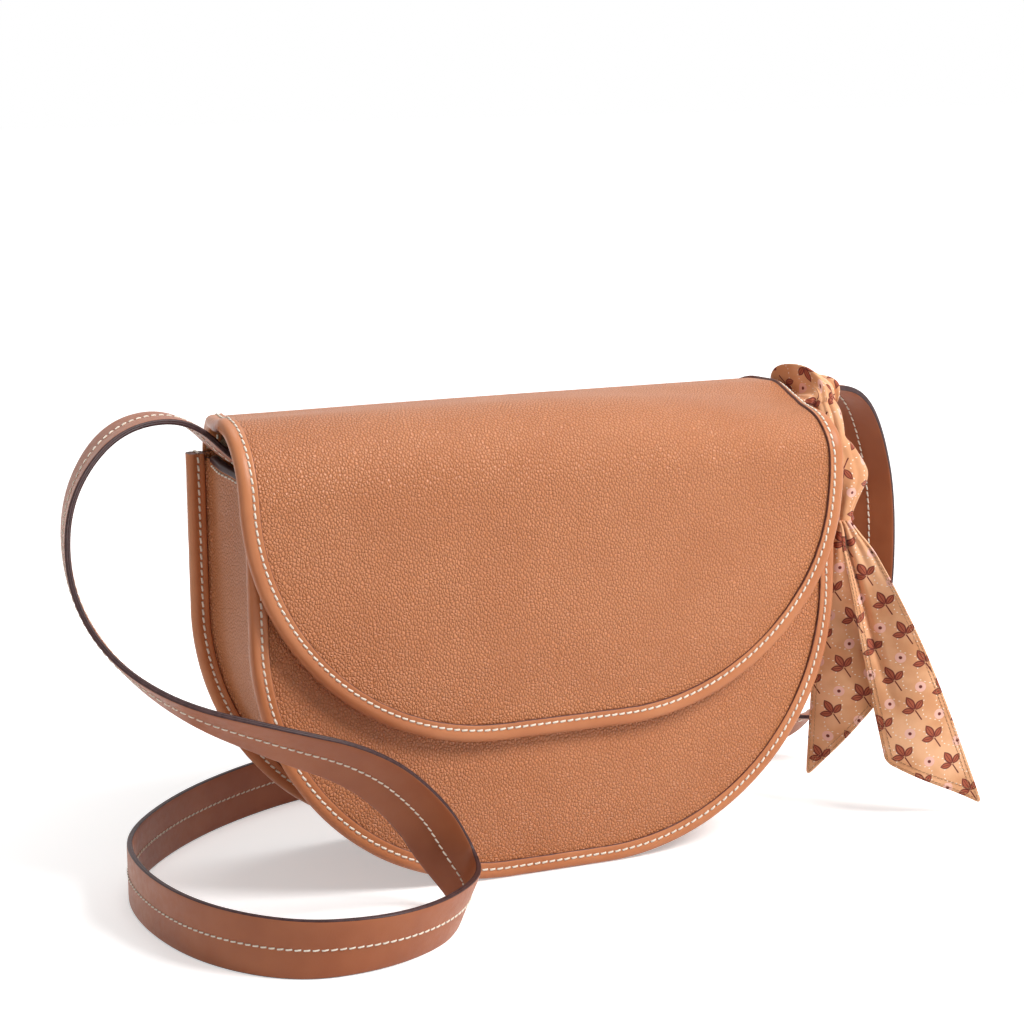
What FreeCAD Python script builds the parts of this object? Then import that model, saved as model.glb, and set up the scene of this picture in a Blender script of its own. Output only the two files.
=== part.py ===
"""Saddle handbag: a D-shaped leather body with a full flap, a long shoulder strap and a tied scarf.

Millimetres. +X is to the right seen from the front, +Y to the back, +Z up. The origin is on the floor
under the middle of the bag.
"""
import FreeCAD, Part
import math
import os

V = FreeCAD.Vector

# Bag shell
BAG_WIDTH = 265.0
BAG_DEPTH = 80.0
PANEL_TOP = 176.0
BASE_FLAT = 45.0
PANEL_LEATHER = 1.8
GUSSET_LEATHER = 1.4
GUSSET_RECESS = 9.5
GUSSET_DROP = 2.0
FRONT_DROP = 6.0

# Bound edges
TAPE = 1.1
BINDING_FACE = 7.5
BINDING_ROUND = 2.0

# Layers behind the leather
BOARD = 0.8
LINING = 0.6
FACING_LEATHER = 1.1
FACING_HEIGHT = 24.0
STRAP_FACING_HEIGHT = 36.0
BASE_BOARD_RISE = 60.0

# Flap
FLAP_OVERHANG = 4.5
ROOT_MARGIN = 0.5
FLAP_RISE = 19.0
FLAP_BOTTOM = 61.0
FLAP_HEM_FLAT = 56.0
FLAP_FRONT_RADIUS = 30.0
FLAP_BACK_RADIUS = 16.0
FLAP_LEATHER = 1.6
FLAP_BOARD = 0.6
FLAP_GAP = 1.5
FLAP_NARROWS_AT = -20.0
ROOT_HEIGHT = 46.0
ROOT_CORNER_RADIUS = 16.0
HINGE_GAP = 0.4

# Magnetic snap
SNAP_HEIGHT = 92.0
SNAP_RADIUS = 9.0
SOCKET_HEIGHT = 2.0
SOCKET_HOLE_RADIUS = 5.0
SOCKET_WALL = 0.5
STUD_PLATE = 1.1
NUB_RADIUS = 3.2
NUB_TIP_RADIUS = 2.6
NUB_LENGTH = 1.4
WASHER_RADIUS = 8.0

# Inner zip pocket
ZIP_DROP = 24.0
TOOTH_PITCH = 3.0
TOOTH_COUNT = 40
TOOTH_LENGTH = 1.6
TOOTH_RISE = 2.2
TOOTH_DEPTH = 2.0
ROW_GAP = 1.4
TAPE_CLOTH = 0.6
TAPE_RISE = 9.0
STOP_LENGTH = 2.0
WINDOW_RISE = 12.0
WINDOW_MARGIN = 4.0
SLIDER_LENGTH = 9.0
SLIDER_RISE = 8.4
SLIDER_PLATE = 0.8
SLIDER_CORNER = 1.6
BRIDGE_LENGTH = 2.5
LUG_LENGTH = 4.0
LUG_RISE = 2.0
LUG_HEIGHT = 2.6
LUG_HOLE_RADIUS = 0.85
PULL_PIN_RADIUS = 0.5
PULL_LENGTH = 24.0
PULL_RISE = 6.4
PULL_PLATE = 1.0
PULL_ARM = 1.2
PULL_EYE = 6.0
POCKET_WIDTH = 150.0
POCKET_BOTTOM = 52.0
POCKET_CLOTH = 0.5
POCKET_SEAM = 4.0

# Shoulder strap
STRAP_WIDTH = 24.0
STRAP_LEATHER = 2.4
STRAP_END_DEPTH = 34.0
STRAP_STEPS = 3
LEFT_RUN_END = 13
FLOOR_LOOP_END = 23
REAR_RUN_END = 28

# Scarf
SCARF_CLOTH = 2.0
WRAP_SIDE = 3.0
WRAP_FACE = 3.6
WRAP_CUT = 3.2
WRAP_FIRST = 33.6
WRAP_LAST = 34.2
KNOT_OUT = 14.0
KNOT_Y = -24.0
KNOT_BOTTOM = 135.0
KNOT_NECK = 5.0
TAIL_TURN = 24.0
TAIL_SPACING = 5.0
TAIL_TOP_HALF = 4.0
TAIL_TOP_FOLD = 2.0
TAIL_FOLD = 3.2
TAIL_STEPS = 6
LONG_TAIL_DROP = 119.6
LONG_TAIL_REACH = 41.5
LONG_TAIL_HALF = 22.0
LONG_TAIL_SLANT = -0.47
SHORT_TAIL_DROP = 101.6
SHORT_TAIL_REACH = 2.0
SHORT_TAIL_HALF = 15.5
SHORT_TAIL_SLANT = 1.28

# Clearances
SEAM = 0.2
GLUE = 0.1
RUN = 0.35

# Worked out from the sizes above
HALF_WIDTH = BAG_WIDTH / 2
HALF_DEPTH = BAG_DEPTH / 2
CORNER_RADIUS = (BAG_WIDTH - BASE_FLAT) / 2
GUSSET_TOP = PANEL_TOP - GUSSET_DROP
PANEL_INSIDE = HALF_DEPTH - PANEL_LEATHER
FLANGE_INSIDE = PANEL_INSIDE - GUSSET_LEATHER
BOARD_INSIDE = PANEL_INSIDE - BOARD
WEB_INSIDE = GUSSET_RECESS + GUSSET_LEATHER
FACING_INSIDE = WEB_INSIDE + SEAM + FACING_LEATHER
SIDE_LINING_OUT = FACING_INSIDE + SEAM
SIDE_LINING_IN = SIDE_LINING_OUT + LINING
LINING_INSET = SIDE_LINING_IN + RUN
STRAP_END_INSET = SIDE_LINING_IN + SEAM + STRAP_LEATHER / 2
FLAP_WIDTH = BAG_WIDTH + 2 * FLAP_OVERHANG
FLAP_TOP = PANEL_TOP + FLAP_RISE
FLAP_CORNER_RADIUS = (FLAP_WIDTH - FLAP_HEM_FLAT) / 2
FLAP_INSIDE = HALF_DEPTH + 2 * TAPE + FLAP_GAP
ROOT_HALF = HALF_WIDTH - BINDING_FACE - ROOT_MARGIN
FLAP_INNER_LAYERS = LINING + FLAP_BOARD + 2 * GLUE
FLAP_STACK = FLAP_INNER_LAYERS + FLAP_LEATHER
FLAP_START = PANEL_TOP + HINGE_GAP
ROOT_BOTTOM = PANEL_TOP - ROOT_HEIGHT
ZIP_HEIGHT = GUSSET_TOP - FACING_HEIGHT - ZIP_DROP
ZIP_HALF = TOOTH_PITCH * TOOTH_COUNT / 2
SLIDER_REACH = TOOTH_DEPTH / 2 + RUN + SLIDER_PLATE
POCKET_BACK_IN = BOARD_INSIDE - POCKET_CLOTH
ZIP_DEPTH = POCKET_BACK_IN - RUN - SLIDER_REACH
ZIP_TAPE_BACK = ZIP_DEPTH + TAPE_CLOTH / 2
ZIP_TAPE_FRONT = ZIP_DEPTH - TAPE_CLOTH / 2
BACK_LINING_FRONT = ZIP_TAPE_FRONT - LINING
SLIDER_X = ZIP_HALF - SLIDER_LENGTH / 2 - RUN
LUG_FRONT = ZIP_DEPTH - SLIDER_REACH - LUG_HEIGHT
PULL_Y = LUG_FRONT + LUG_HOLE_RADIUS + SLIDER_PLATE / 2
KNOT_X = HALF_WIDTH + KNOT_OUT


def save(name, shape):
    shape.exportStep("parts/" + name + ".step")


def box(x0, x1, y0, y1, z0, z1):
    return Part.makeBox(x1 - x0, y1 - y0, z1 - z0, V(x0, y0, z0))


def line(a, b):
    return Part.LineSegment(a, b).toShape()


def arc(a, middle, b):
    return Part.Arc(a, middle, b).toShape()


def d_face(half_width, radius, bottom, top):
    """Flat D in the XZ plane: level base, quarter-round corners, upright sides, level top."""
    flat = half_width - radius
    round_top = bottom + radius
    reach = radius * math.sqrt(0.5)
    right = [V(flat, 0, bottom), V(flat + reach, 0, round_top - reach), V(half_width, 0, round_top)]
    left = [V(-p.x, 0, p.z) for p in reversed(right)]
    top_right = V(half_width, 0, top)
    top_left = V(-half_width, 0, top)
    edges = [
        line(left[2], right[0]),
        arc(*right),
        line(right[2], top_right),
        line(top_right, top_left),
        line(top_left, left[0]),
        arc(*left),
    ]
    return Part.Face(Part.Wire(edges))


def d_slab(half_width, radius, bottom, top, y0, y1):
    face = d_face(half_width, radius, bottom, top)
    face.translate(V(0, y0, 0))
    return face.extrude(V(0, y1 - y0, 0))


def bag_slab(inset, y0, y1, top=PANEL_TOP):
    """Slab of the bag's D outline, drawn in from the bound edge by inset."""
    return d_slab(HALF_WIDTH - inset, CORNER_RADIUS - inset, inset, top, y0, y1)


def bag_strip(outer, inner, y0, y1, top=PANEL_TOP):
    """Strip that follows the D round its sides and base, between two insets."""
    hollow = bag_slab(inner, y0 - 1, y1 + 1, top + 1)
    return bag_slab(outer, y0, y1, top).cut(hollow)


def mirror_y(shape):
    return shape.mirror(V(0, 0, 0), V(0, 1, 0))


def below_mouth(shape, drop):
    """Trim along the mouth, which falls from the back panel to the front panel."""
    back = PANEL_TOP - drop
    corners = [V(-BAG_WIDTH, HALF_DEPTH, back), V(-BAG_WIDTH, -HALF_DEPTH, back - FRONT_DROP)]
    slope = (corners[0] - corners[1]) * 0.5
    top = [corners[0] + slope, corners[1] - slope]
    low = [V(p.x, p.y, -1) for p in reversed(top)]
    face = Part.Face(Part.makePolygon(top + low + top[:1]))
    return shape.common(face.extrude(V(BAG_WIDTH * 2, 0, 0)))


# Shell


def front_sheet():
    return bag_slab(TAPE + GLUE, -HALF_DEPTH, -PANEL_INSIDE)


def gusset():
    """Channel round the sides and base, with a flange turned out along each panel."""
    strip = bag_strip(TAPE + GLUE, WEB_INSIDE, -PANEL_INSIDE, PANEL_INSIDE)
    groove = bag_strip(-1, GUSSET_RECESS, -FLANGE_INSIDE, FLANGE_INSIDE, PANEL_TOP + 1)
    return below_mouth(strip.cut(groove), GUSSET_DROP)


def front_tape():
    """Folded leather tape over the raw edges of the front panel and the gusset's flange."""
    outer = -HALF_DEPTH - TAPE
    inner = -FLANGE_INSIDE + TAPE
    roll = bag_slab(0, outer, inner)
    long_edges = [e for e in roll.Edges if e.BoundBox.YLength < 1e-6 and e.BoundBox.ZMin < PANEL_TOP - 1]
    roll = roll.makeFillet(BINDING_ROUND, long_edges)
    window = bag_slab(BINDING_FACE, outer - 1, inner + 1, PANEL_TOP + 1)
    slot = bag_slab(TAPE, -HALF_DEPTH, -FLANGE_INSIDE, PANEL_TOP + 1)
    return roll.cut(window).cut(slot)


# Layers inside


def snap_hole(y0, y1):
    """Round cut for the snap's backing washer."""
    return Part.makeCylinder(WASHER_RADIUS + SEAM, y1 - y0, V(0, y0, SNAP_HEIGHT), V(0, 1, 0))


def front_board():
    board = bag_slab(WEB_INSIDE + RUN, -PANEL_INSIDE, -BOARD_INSIDE, GUSSET_TOP)
    return below_mouth(board.cut(snap_hole(-PANEL_INSIDE, -BOARD_INSIDE)), GUSSET_DROP)


def back_board():
    return bag_slab(WEB_INSIDE + RUN, BOARD_INSIDE, PANEL_INSIDE, GUSSET_TOP)


def base_board():
    strip = bag_strip(WEB_INSIDE + SEAM, WEB_INSIDE + SEAM + BOARD, -FLANGE_INSIDE, FLANGE_INSIDE)
    return strip.common(box(-HALF_WIDTH, HALF_WIDTH, -HALF_DEPTH, HALF_DEPTH, 0, BASE_BOARD_RISE))


def front_lining():
    return below_mouth(bag_slab(LINING_INSET, -BOARD_INSIDE, -BOARD_INSIDE + LINING), GUSSET_DROP)


def back_lining():
    """Lining sheet with the window that the pocket zip shows through."""
    sheet = bag_slab(LINING_INSET, BACK_LINING_FRONT, ZIP_TAPE_FRONT, GUSSET_TOP)
    half = ZIP_HALF + STOP_LENGTH + WINDOW_MARGIN
    low = ZIP_HEIGHT - WINDOW_RISE / 2
    return sheet.cut(box(-half, half, 0, HALF_DEPTH, low, low + WINDOW_RISE))


def gusset_lining():
    strip = bag_strip(SIDE_LINING_OUT, SIDE_LINING_IN, -BOARD_INSIDE, BOARD_INSIDE)
    return below_mouth(strip, GUSSET_DROP)


def mouth_facing(y0):
    half = HALF_WIDTH - LINING_INSET
    strip = box(-half, half, y0, y0 + FACING_LEATHER, GUSSET_TOP - FACING_HEIGHT, PANEL_TOP)
    return below_mouth(strip, GUSSET_DROP)


def strap_facing(side):
    """Leather ply inside the gusset's top, which the strap end is sewn through."""
    inner = HALF_WIDTH - FACING_INSIDE
    x0, x1 = sorted((side * inner, side * (inner + FACING_LEATHER)))
    ply = box(x0, x1, -FLANGE_INSIDE, FLANGE_INSIDE, GUSSET_TOP - STRAP_FACING_HEIGHT, PANEL_TOP)
    return below_mouth(ply, GUSSET_DROP)


# Inner zip pocket


def zip_tape(side):
    near = ROW_GAP / 2 + TOOTH_RISE
    z0, z1 = sorted((ZIP_HEIGHT + side * near, ZIP_HEIGHT + side * (near + TAPE_RISE)))
    half = ZIP_HALF + STOP_LENGTH + WINDOW_MARGIN * 2
    return box(-half, half, ZIP_TAPE_FRONT, ZIP_TAPE_BACK, z0, z1)


def zip_teeth(side):
    """Row of separate teeth along one tape, half a pitch out of step with the other row."""
    z0, z1 = sorted((ZIP_HEIGHT + side * ROW_GAP / 2, ZIP_HEIGHT + side * (ROW_GAP / 2 + TOOTH_RISE)))
    y0 = ZIP_DEPTH - TOOTH_DEPTH / 2
    step = TOOTH_PITCH / 4 * (1 + side)
    teeth = []
    for i in range(TOOTH_COUNT):
        x = -ZIP_HALF + i * TOOTH_PITCH + step
        teeth.append(box(x, x + TOOTH_LENGTH, y0, y0 + TOOTH_DEPTH, z0, z1))
    return Part.makeCompound(teeth)


def zip_stops():
    rise = ROW_GAP / 2 + TOOTH_RISE
    y0 = ZIP_DEPTH - TOOTH_DEPTH / 2
    stops = []
    for x in (-ZIP_HALF - STOP_LENGTH - RUN, ZIP_HALF + TOOTH_PITCH / 2 + RUN):
        stops.append(box(x, x + STOP_LENGTH, y0, y0 + TOOTH_DEPTH, ZIP_HEIGHT - rise, ZIP_HEIGHT + rise))
    return Part.makeCompound(stops)


def slider_plate(y0):
    x0 = SLIDER_X - SLIDER_LENGTH / 2
    z0 = ZIP_HEIGHT - SLIDER_RISE / 2
    plate = box(x0, x0 + SLIDER_LENGTH, y0, y0 + SLIDER_PLATE, z0, z0 + SLIDER_RISE)
    corners = [e for e in plate.Edges if e.BoundBox.YLength > SLIDER_PLATE / 2]
    return plate.makeFillet(SLIDER_CORNER, corners)


def zip_slider():
    """Two plates over and under the rows, the bridge between the rows and the lug for the pull."""
    front = slider_plate(ZIP_DEPTH - SLIDER_REACH)
    back = slider_plate(ZIP_DEPTH + TOOTH_DEPTH / 2 + RUN)
    half_gap = ROW_GAP / 2 - RUN
    end = SLIDER_X + SLIDER_LENGTH / 2
    reach = SLIDER_REACH - SLIDER_PLATE / 2
    bridge = box(end - BRIDGE_LENGTH, end, ZIP_DEPTH - reach, ZIP_DEPTH + reach,
                 ZIP_HEIGHT - half_gap, ZIP_HEIGHT + half_gap)
    lug_back = LUG_FRONT + LUG_HEIGHT + SLIDER_PLATE / 2
    lug = box(SLIDER_X - LUG_LENGTH / 2, SLIDER_X + LUG_LENGTH / 2, LUG_FRONT, lug_back,
              ZIP_HEIGHT - LUG_RISE / 2, ZIP_HEIGHT + LUG_RISE / 2)
    hole_start = V(SLIDER_X, PULL_Y, ZIP_HEIGHT - LUG_RISE)
    hole = Part.makeCylinder(LUG_HOLE_RADIUS, LUG_RISE * 2, hole_start, V(0, 0, 1))
    return front.fuse([back, bridge, lug]).removeSplitter().cut(hole)


def zip_pull():
    """Flat tab with an eye whose cross pin runs through the slider's lug."""
    y0 = PULL_Y - PULL_PLATE / 2
    z0 = ZIP_HEIGHT - PULL_RISE / 2
    inner = PULL_RISE / 2 - PULL_ARM
    tab = box(SLIDER_X - PULL_LENGTH, SLIDER_X + PULL_PIN_RADIUS, y0, y0 + PULL_PLATE, z0, z0 + PULL_RISE)
    upright = [e for e in tab.Edges if e.BoundBox.YLength > PULL_PLATE / 2]
    ends = [e for e in upright if e.BoundBox.XMax < SLIDER_X - PULL_EYE]
    tab = tab.makeFillet(PULL_RISE / 2 - RUN, ends)
    eye = box(SLIDER_X - PULL_EYE, SLIDER_X + PULL_EYE, y0 - 1, y0 + PULL_PLATE + 1,
              ZIP_HEIGHT - inner, ZIP_HEIGHT + inner)
    pin = Part.makeCylinder(PULL_PIN_RADIUS, PULL_RISE, V(SLIDER_X, PULL_Y, z0), V(0, 0, 1))
    return tab.cut(eye).fuse(pin).removeSplitter()


def pocket_front():
    """Front cloth of the pocket, sewn to the lower tape, with a seam rim along its sides and base."""
    half = POCKET_WIDTH / 2
    top = ZIP_HEIGHT - ROW_GAP / 2 - TOOTH_RISE - RUN
    inner = half - POCKET_SEAM
    pouch = box(-half, half, ZIP_TAPE_BACK, POCKET_BACK_IN, POCKET_BOTTOM, top)
    floor = POCKET_BOTTOM + POCKET_SEAM
    hollow = box(-inner, inner, ZIP_TAPE_BACK + POCKET_CLOTH, HALF_DEPTH, floor, PANEL_TOP)
    return pouch.cut(hollow)


def pocket_back():
    """Back cloth of the pocket, carried up behind the zip to the upper tape."""
    half = POCKET_WIDTH / 2
    tape_top = ZIP_HEIGHT + ROW_GAP / 2 + TOOTH_RISE + TAPE_RISE
    sheet = box(-half, half, POCKET_BACK_IN, BOARD_INSIDE, POCKET_BOTTOM, tape_top)
    hem = box(-half, half, ZIP_TAPE_BACK, POCKET_BACK_IN, tape_top - POCKET_SEAM, tape_top)
    return sheet.fuse(hem).removeSplitter()


# Magnetic snap, turned about its own axis


def turned(profile, y):
    """Solid turned from (radius, depth) points about the snap's axis, depth running to the front."""
    points = [V(r, y - d, SNAP_HEIGHT) for r, d in profile]
    face = Part.Face(Part.makePolygon(points + points[:1]))
    return face.revolve(V(0, y, SNAP_HEIGHT), V(0, 1, 0), 360)


def snap_socket():
    """Pressed cup with a centre hole, open at the back for the ring magnet."""
    cap = SOCKET_HEIGHT - SOCKET_WALL
    hole = SOCKET_HOLE_RADIUS
    return turned([(hole, 0), (hole, SOCKET_HEIGHT), (SNAP_RADIUS, SOCKET_HEIGHT), (SNAP_RADIUS, 0),
                   (SNAP_RADIUS - SOCKET_WALL, 0), (SNAP_RADIUS - SOCKET_WALL, cap),
                   (hole + SOCKET_WALL, cap), (hole + SOCKET_WALL, 0)], -HALF_DEPTH)


def snap_magnet():
    inner = SOCKET_HOLE_RADIUS + SOCKET_WALL + GLUE
    outer = SNAP_RADIUS - SOCKET_WALL - GLUE
    depth = SOCKET_HEIGHT - SOCKET_WALL
    return turned([(inner, 0), (inner, depth), (outer, depth), (outer, 0)], -HALF_DEPTH)


def socket_washer():
    return turned([(0, 0), (0, BOARD), (WASHER_RADIUS, BOARD), (WASHER_RADIUS, 0)], -BOARD_INSIDE)


def snap_stud():
    """Plate on the flap's lining with a tapered nub that drops into the socket."""
    back = -STUD_PLATE
    return turned([(0, 0), (SNAP_RADIUS, 0), (SNAP_RADIUS, back), (NUB_RADIUS, back),
                   (NUB_TIP_RADIUS, back - NUB_LENGTH), (0, back - NUB_LENGTH)], -FLAP_INSIDE)


def stud_washer():
    y = -FLAP_INSIDE - LINING - GLUE
    return turned([(0, 0), (0, FLAP_BOARD), (WASHER_RADIUS, FLAP_BOARD), (WASHER_RADIUS, 0)], y)


# Flap, from a side profile that wraps the top and an outline that trims it


def flap_path(offset, low):
    """Side profile of the flap's lining face, moved out by offset: back arc, top, front arc, front."""
    back_radius = FLAP_BACK_RADIUS - FLAP_STACK + offset
    front_radius = FLAP_FRONT_RADIUS - FLAP_STACK + offset
    back_centre = V(0, HALF_DEPTH - FLAP_INNER_LAYERS - FLAP_BACK_RADIUS + FLAP_STACK, FLAP_START)
    front_centre = V(0, -FLAP_INSIDE + FLAP_FRONT_RADIUS - FLAP_STACK, FLAP_TOP - FLAP_FRONT_RADIUS)
    apart = back_centre - front_centre
    crown = math.atan2(apart.z, apart.y) + math.acos((front_radius - back_radius) / apart.Length)

    def on(centre, radius, angle):
        return centre + V(0, math.cos(angle), math.sin(angle)) * radius

    back = [on(back_centre, back_radius, a) for a in (0, crown / 2, crown)]
    front = [on(front_centre, front_radius, a) for a in (crown, (crown + math.pi) / 2, math.pi)]
    end = V(0, front[2].y, low)
    return [arc(*back), line(back[2], front[0]), arc(*front), line(front[2], end)], back[0], end


def flap_sheet(inner, outer):
    """Sheet between two offsets of the side profile, wider and longer than the flap."""
    low = FLAP_BOTTOM - TAPE
    inner_edges, inner_start, inner_end = flap_path(inner, low)
    outer_edges, outer_start, outer_end = flap_path(outer, low)
    hem = line(outer_end, inner_end)
    root = line(inner_start, outer_start)
    wire = Part.Wire(outer_edges + [hem] + inner_edges[::-1] + [root])
    sheet = Part.Face(wire).extrude(V(FLAP_WIDTH * 2, 0, 0))
    sheet.translate(V(-FLAP_WIDTH, 0, 0))
    return sheet


def flap_outline(inset):
    """Solid that trims the flap: the D seen from the front, narrowed in plan towards the root."""
    far = BAG_DEPTH * 2
    half = FLAP_WIDTH / 2 - inset
    root = ROOT_HALF - inset
    tall = FLAP_TOP + far
    front = d_slab(half, FLAP_CORNER_RADIUS - inset, FLAP_BOTTOM + inset, tall, -far, far)
    side = [(half, -far), (half, FLAP_NARROWS_AT), (root, HALF_DEPTH), (root, far)]
    ring = [V(x, y, 0) for x, y in side] + [V(-x, y, 0) for x, y in reversed(side)]
    plan = Part.Face(Part.makePolygon(ring + ring[:1])).extrude(V(0, 0, tall))
    return front.common(plan)


def flap_layer(inner, outer, inset):
    return flap_sheet(inner, outer).common(flap_outline(inset))


def flap_panel():
    return flap_layer(FLAP_INNER_LAYERS, FLAP_STACK, TAPE + GLUE)


def flap_board():
    start = LINING + GLUE
    board = flap_layer(start, start + FLAP_BOARD, BINDING_FACE)
    return board.cut(snap_hole(-FLAP_INSIDE - FLAP_STACK, -FLAP_INSIDE))


def flap_lining():
    return flap_layer(0, LINING, TAPE + GLUE)


def flap_binding():
    """Folded tape round the flap's free edge, from the root on one side to the root on the other."""
    band = flap_layer(-TAPE, FLAP_STACK + TAPE, 0)
    slot = flap_layer(-GLUE, FLAP_STACK + GLUE, TAPE)
    window = flap_layer(-TAPE * 2, FLAP_STACK + TAPE * 2, BINDING_FACE)
    return band.cut(slot).cut(window)


def root_slab(inset, y0, y1, top=PANEL_TOP):
    half = ROOT_HALF - inset
    return d_slab(half, ROOT_CORNER_RADIUS - inset, ROOT_BOTTOM + inset, top, y0, y1)


def flap_root():
    """End of the flap's leather, lapped and sewn on the back panel below the fold."""
    return root_slab(TAPE + GLUE, HALF_DEPTH, HALF_DEPTH + FLAP_LEATHER)


def root_binding():
    face = HALF_DEPTH + FLAP_LEATHER
    band = root_slab(0, HALF_DEPTH, face + TAPE)
    window = root_slab(BINDING_FACE, HALF_DEPTH - 1, face + TAPE + 1, PANEL_TOP + 1)
    slot = root_slab(TAPE, HALF_DEPTH - 1, face, PANEL_TOP + 1)
    return band.cut(window).cut(slot)


# Strap. Each point of the route is a place and two angles of the width: lean lifts the front edge
# from level to upright, turn swings it outwards.


def strap_route():
    left = -HALF_WIDTH
    right = HALF_WIDTH
    rise = PANEL_TOP
    edge = STRAP_WIDTH / 2
    end = STRAP_END_INSET
    low = GUSSET_TOP - STRAP_END_DEPTH
    return [
        (left + end, 0, low, 0, 0),
        (left + end, 0, rise - 8, 0, 0),
        (left + end, 0, rise + 5, 0, 0),
        (left + 7, -1, rise + 5, 0, 0),
        (left - 15, -2, rise + 21, 0, 0),
        (left - 44, -9, rise + 19, 0, -6),
        (left - 67, -24, rise - 3, 4, -10),
        (left - 72, -39, rise - 34, 8, -12),
        (left - 61, -52, rise - 61, 15, -18),
        (left - 37, -64, rise - 82, 28, -18),
        (left - 2, -74, rise - 96, 43, -8),
        (left + 34, -75, rise - 110, 56, 0),
        (left + 60, -65, rise - 133, 64, 50),
        (left + 75, -55, rise - 156, 74, 80),
        (left + 82, -60, edge + 0.5, 72, 75),
        (left + 76, -79, edge - 0.4, 74, 60),
        (left + 54, -104, edge, 82, 40),
        (left + 22, -121, edge, 90, 0),
        (left - 12, -118, edge, 90, 0),
        (left - 37, -84, edge, 90, 0),
        (left - 46, -36, edge, 90, 0),
        (left - 40, 12, edge, 90, 0),
        (left - 10, 54, edge, 90, 0),
        (left + 30, 87, edge, 90, 0),
        (left + 78, 110, edge, 90, 0),
        (left + 140, 116, edge, 90, 0),
        (right - 60, 108, edge, 90, 0),
        (right - 2, 90, edge, 72, 0),
        (right + 34, 68, edge + 1, 46, 0),
        (right + 57, 50, edge + 20, 18, 14),
        (right + 66, 38, edge + 62, 4, 38),
        (right + 61, 29, rise - 46, 0, 52),
        (right + 50, 22, rise - 12, 0, 44),
        (right + 37, 15, rise + 9, 0, 28),
        (right + 18, 7, rise + 15, 0, 10),
        (right - 1, 1, rise + 8, 0, 0),
        (right - end, 0, rise + 5, 0, 0),
        (right - end, 0, rise - 8, 0, 0),
        (right - end, 0, low, 0, 0),
    ]


def smooth(points):
    curve = Part.BSplineCurve()
    curve.buildFromPoles(points, False, 2)
    return curve


def width_direction(lean, turn):
    lean = math.radians(lean)
    turn = math.radians(turn)
    return V(math.sin(turn) * math.cos(lean), -math.cos(turn) * math.cos(lean), math.sin(lean))


class Strap:
    """Flat band along the route, cut square across its own line at every step."""

    def __init__(self):
        route = strap_route()
        self.spans = len(route) - 2
        self.line = smooth([V(x, y, z) for x, y, z, lean, turn in route])
        self.width = smooth([width_direction(lean, turn) for x, y, z, lean, turn in route])

    def frame(self, span):
        """Middle, width direction and face direction after that many spans of the route."""
        share = span / self.spans
        middle = self.line.value(share)
        along = V(*self.line.tangent(share)[0])
        across = self.width.value(share)
        across = (across - along * across.dot(along)).normalize()
        return middle, across, along.cross(across)

    def section(self, span, width, depth, cut=0.0):
        """Rectangle across the band, with its corners cut off where a cut is given."""
        middle, across, face = self.frame(span)
        a = width / 2
        b = depth / 2
        if cut:
            corners = [(a, b - cut), (a - cut, b), (cut - a, b), (-a, b - cut),
                       (-a, cut - b), (cut - a, -b), (a - cut, -b), (a, cut - b)]
        else:
            corners = [(a, b), (-a, b), (-a, -b), (a, -b)]
        points = [middle + across * u + face * v for u, v in corners]
        return Part.makePolygon(points + points[:1])

    def band(self, first, last, width=STRAP_WIDTH, depth=STRAP_LEATHER, cut=0.0):
        steps = round((last - first) * STRAP_STEPS)
        spans = [first + (last - first) * i / steps for i in range(steps + 1)]
        return Part.makeLoft([self.section(s, width, depth, cut) for s in spans], True, True)


# Scarf


def ring_wire(centre, radius):
    """Level circle made of four arcs."""
    points = []
    for i in range(8):
        angle = math.pi / 4 * i
        points.append(centre + V(math.cos(angle), math.sin(angle), 0) * radius)
    points.append(points[0])
    return Part.Wire([arc(*points[i:i + 3]) for i in (0, 2, 4, 6)])


def wrap_band(strap, room, first, last):
    """Solid round the strap with cut corners, grown by room on every side."""
    width = STRAP_WIDTH + 2 * (WRAP_SIDE + room)
    depth = STRAP_LEATHER + 2 * (WRAP_FACE + room)
    return strap.band(first, last, width, depth, WRAP_CUT)


def scarf_wrap(strap):
    """Turn of cloth round the strap."""
    hole = strap.band(REAR_RUN_END, strap.spans, STRAP_WIDTH + 2 * SEAM, STRAP_LEATHER + 2 * SEAM)
    return wrap_band(strap, 0, WRAP_FIRST, WRAP_LAST).cut(hole)


def scarf_knot(strap):
    """Gathered cloth from the front of the wrap down through the knot."""
    middle, across, face = strap.frame((WRAP_FIRST + WRAP_LAST) / 2)
    start = middle + across * (STRAP_WIDTH / 2)
    end = V(KNOT_X, KNOT_Y, KNOT_BOTTOM)
    shares_slides_swells = [(0.0, 0.1, 1.0), (0.22, 0.55, 0.95), (0.36, 0.9, 1.35),
                            (0.6, 1.05, 1.7), (0.82, 1.05, 1.3), (1.0, 1.0, 1.0)]
    rings = []
    for share, slide, swell in shares_slides_swells:
        place = V(start.x + (end.x - start.x) * slide, start.y + (end.y - start.y) * slide,
                  start.z + (end.z - start.z) * share)
        rings.append(ring_wire(place, KNOT_NECK * swell))
    cloth = Part.makeLoft(rings, True, True)
    return cloth.cut(wrap_band(strap, SEAM, WRAP_FIRST - 1, WRAP_LAST + 1))


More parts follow.
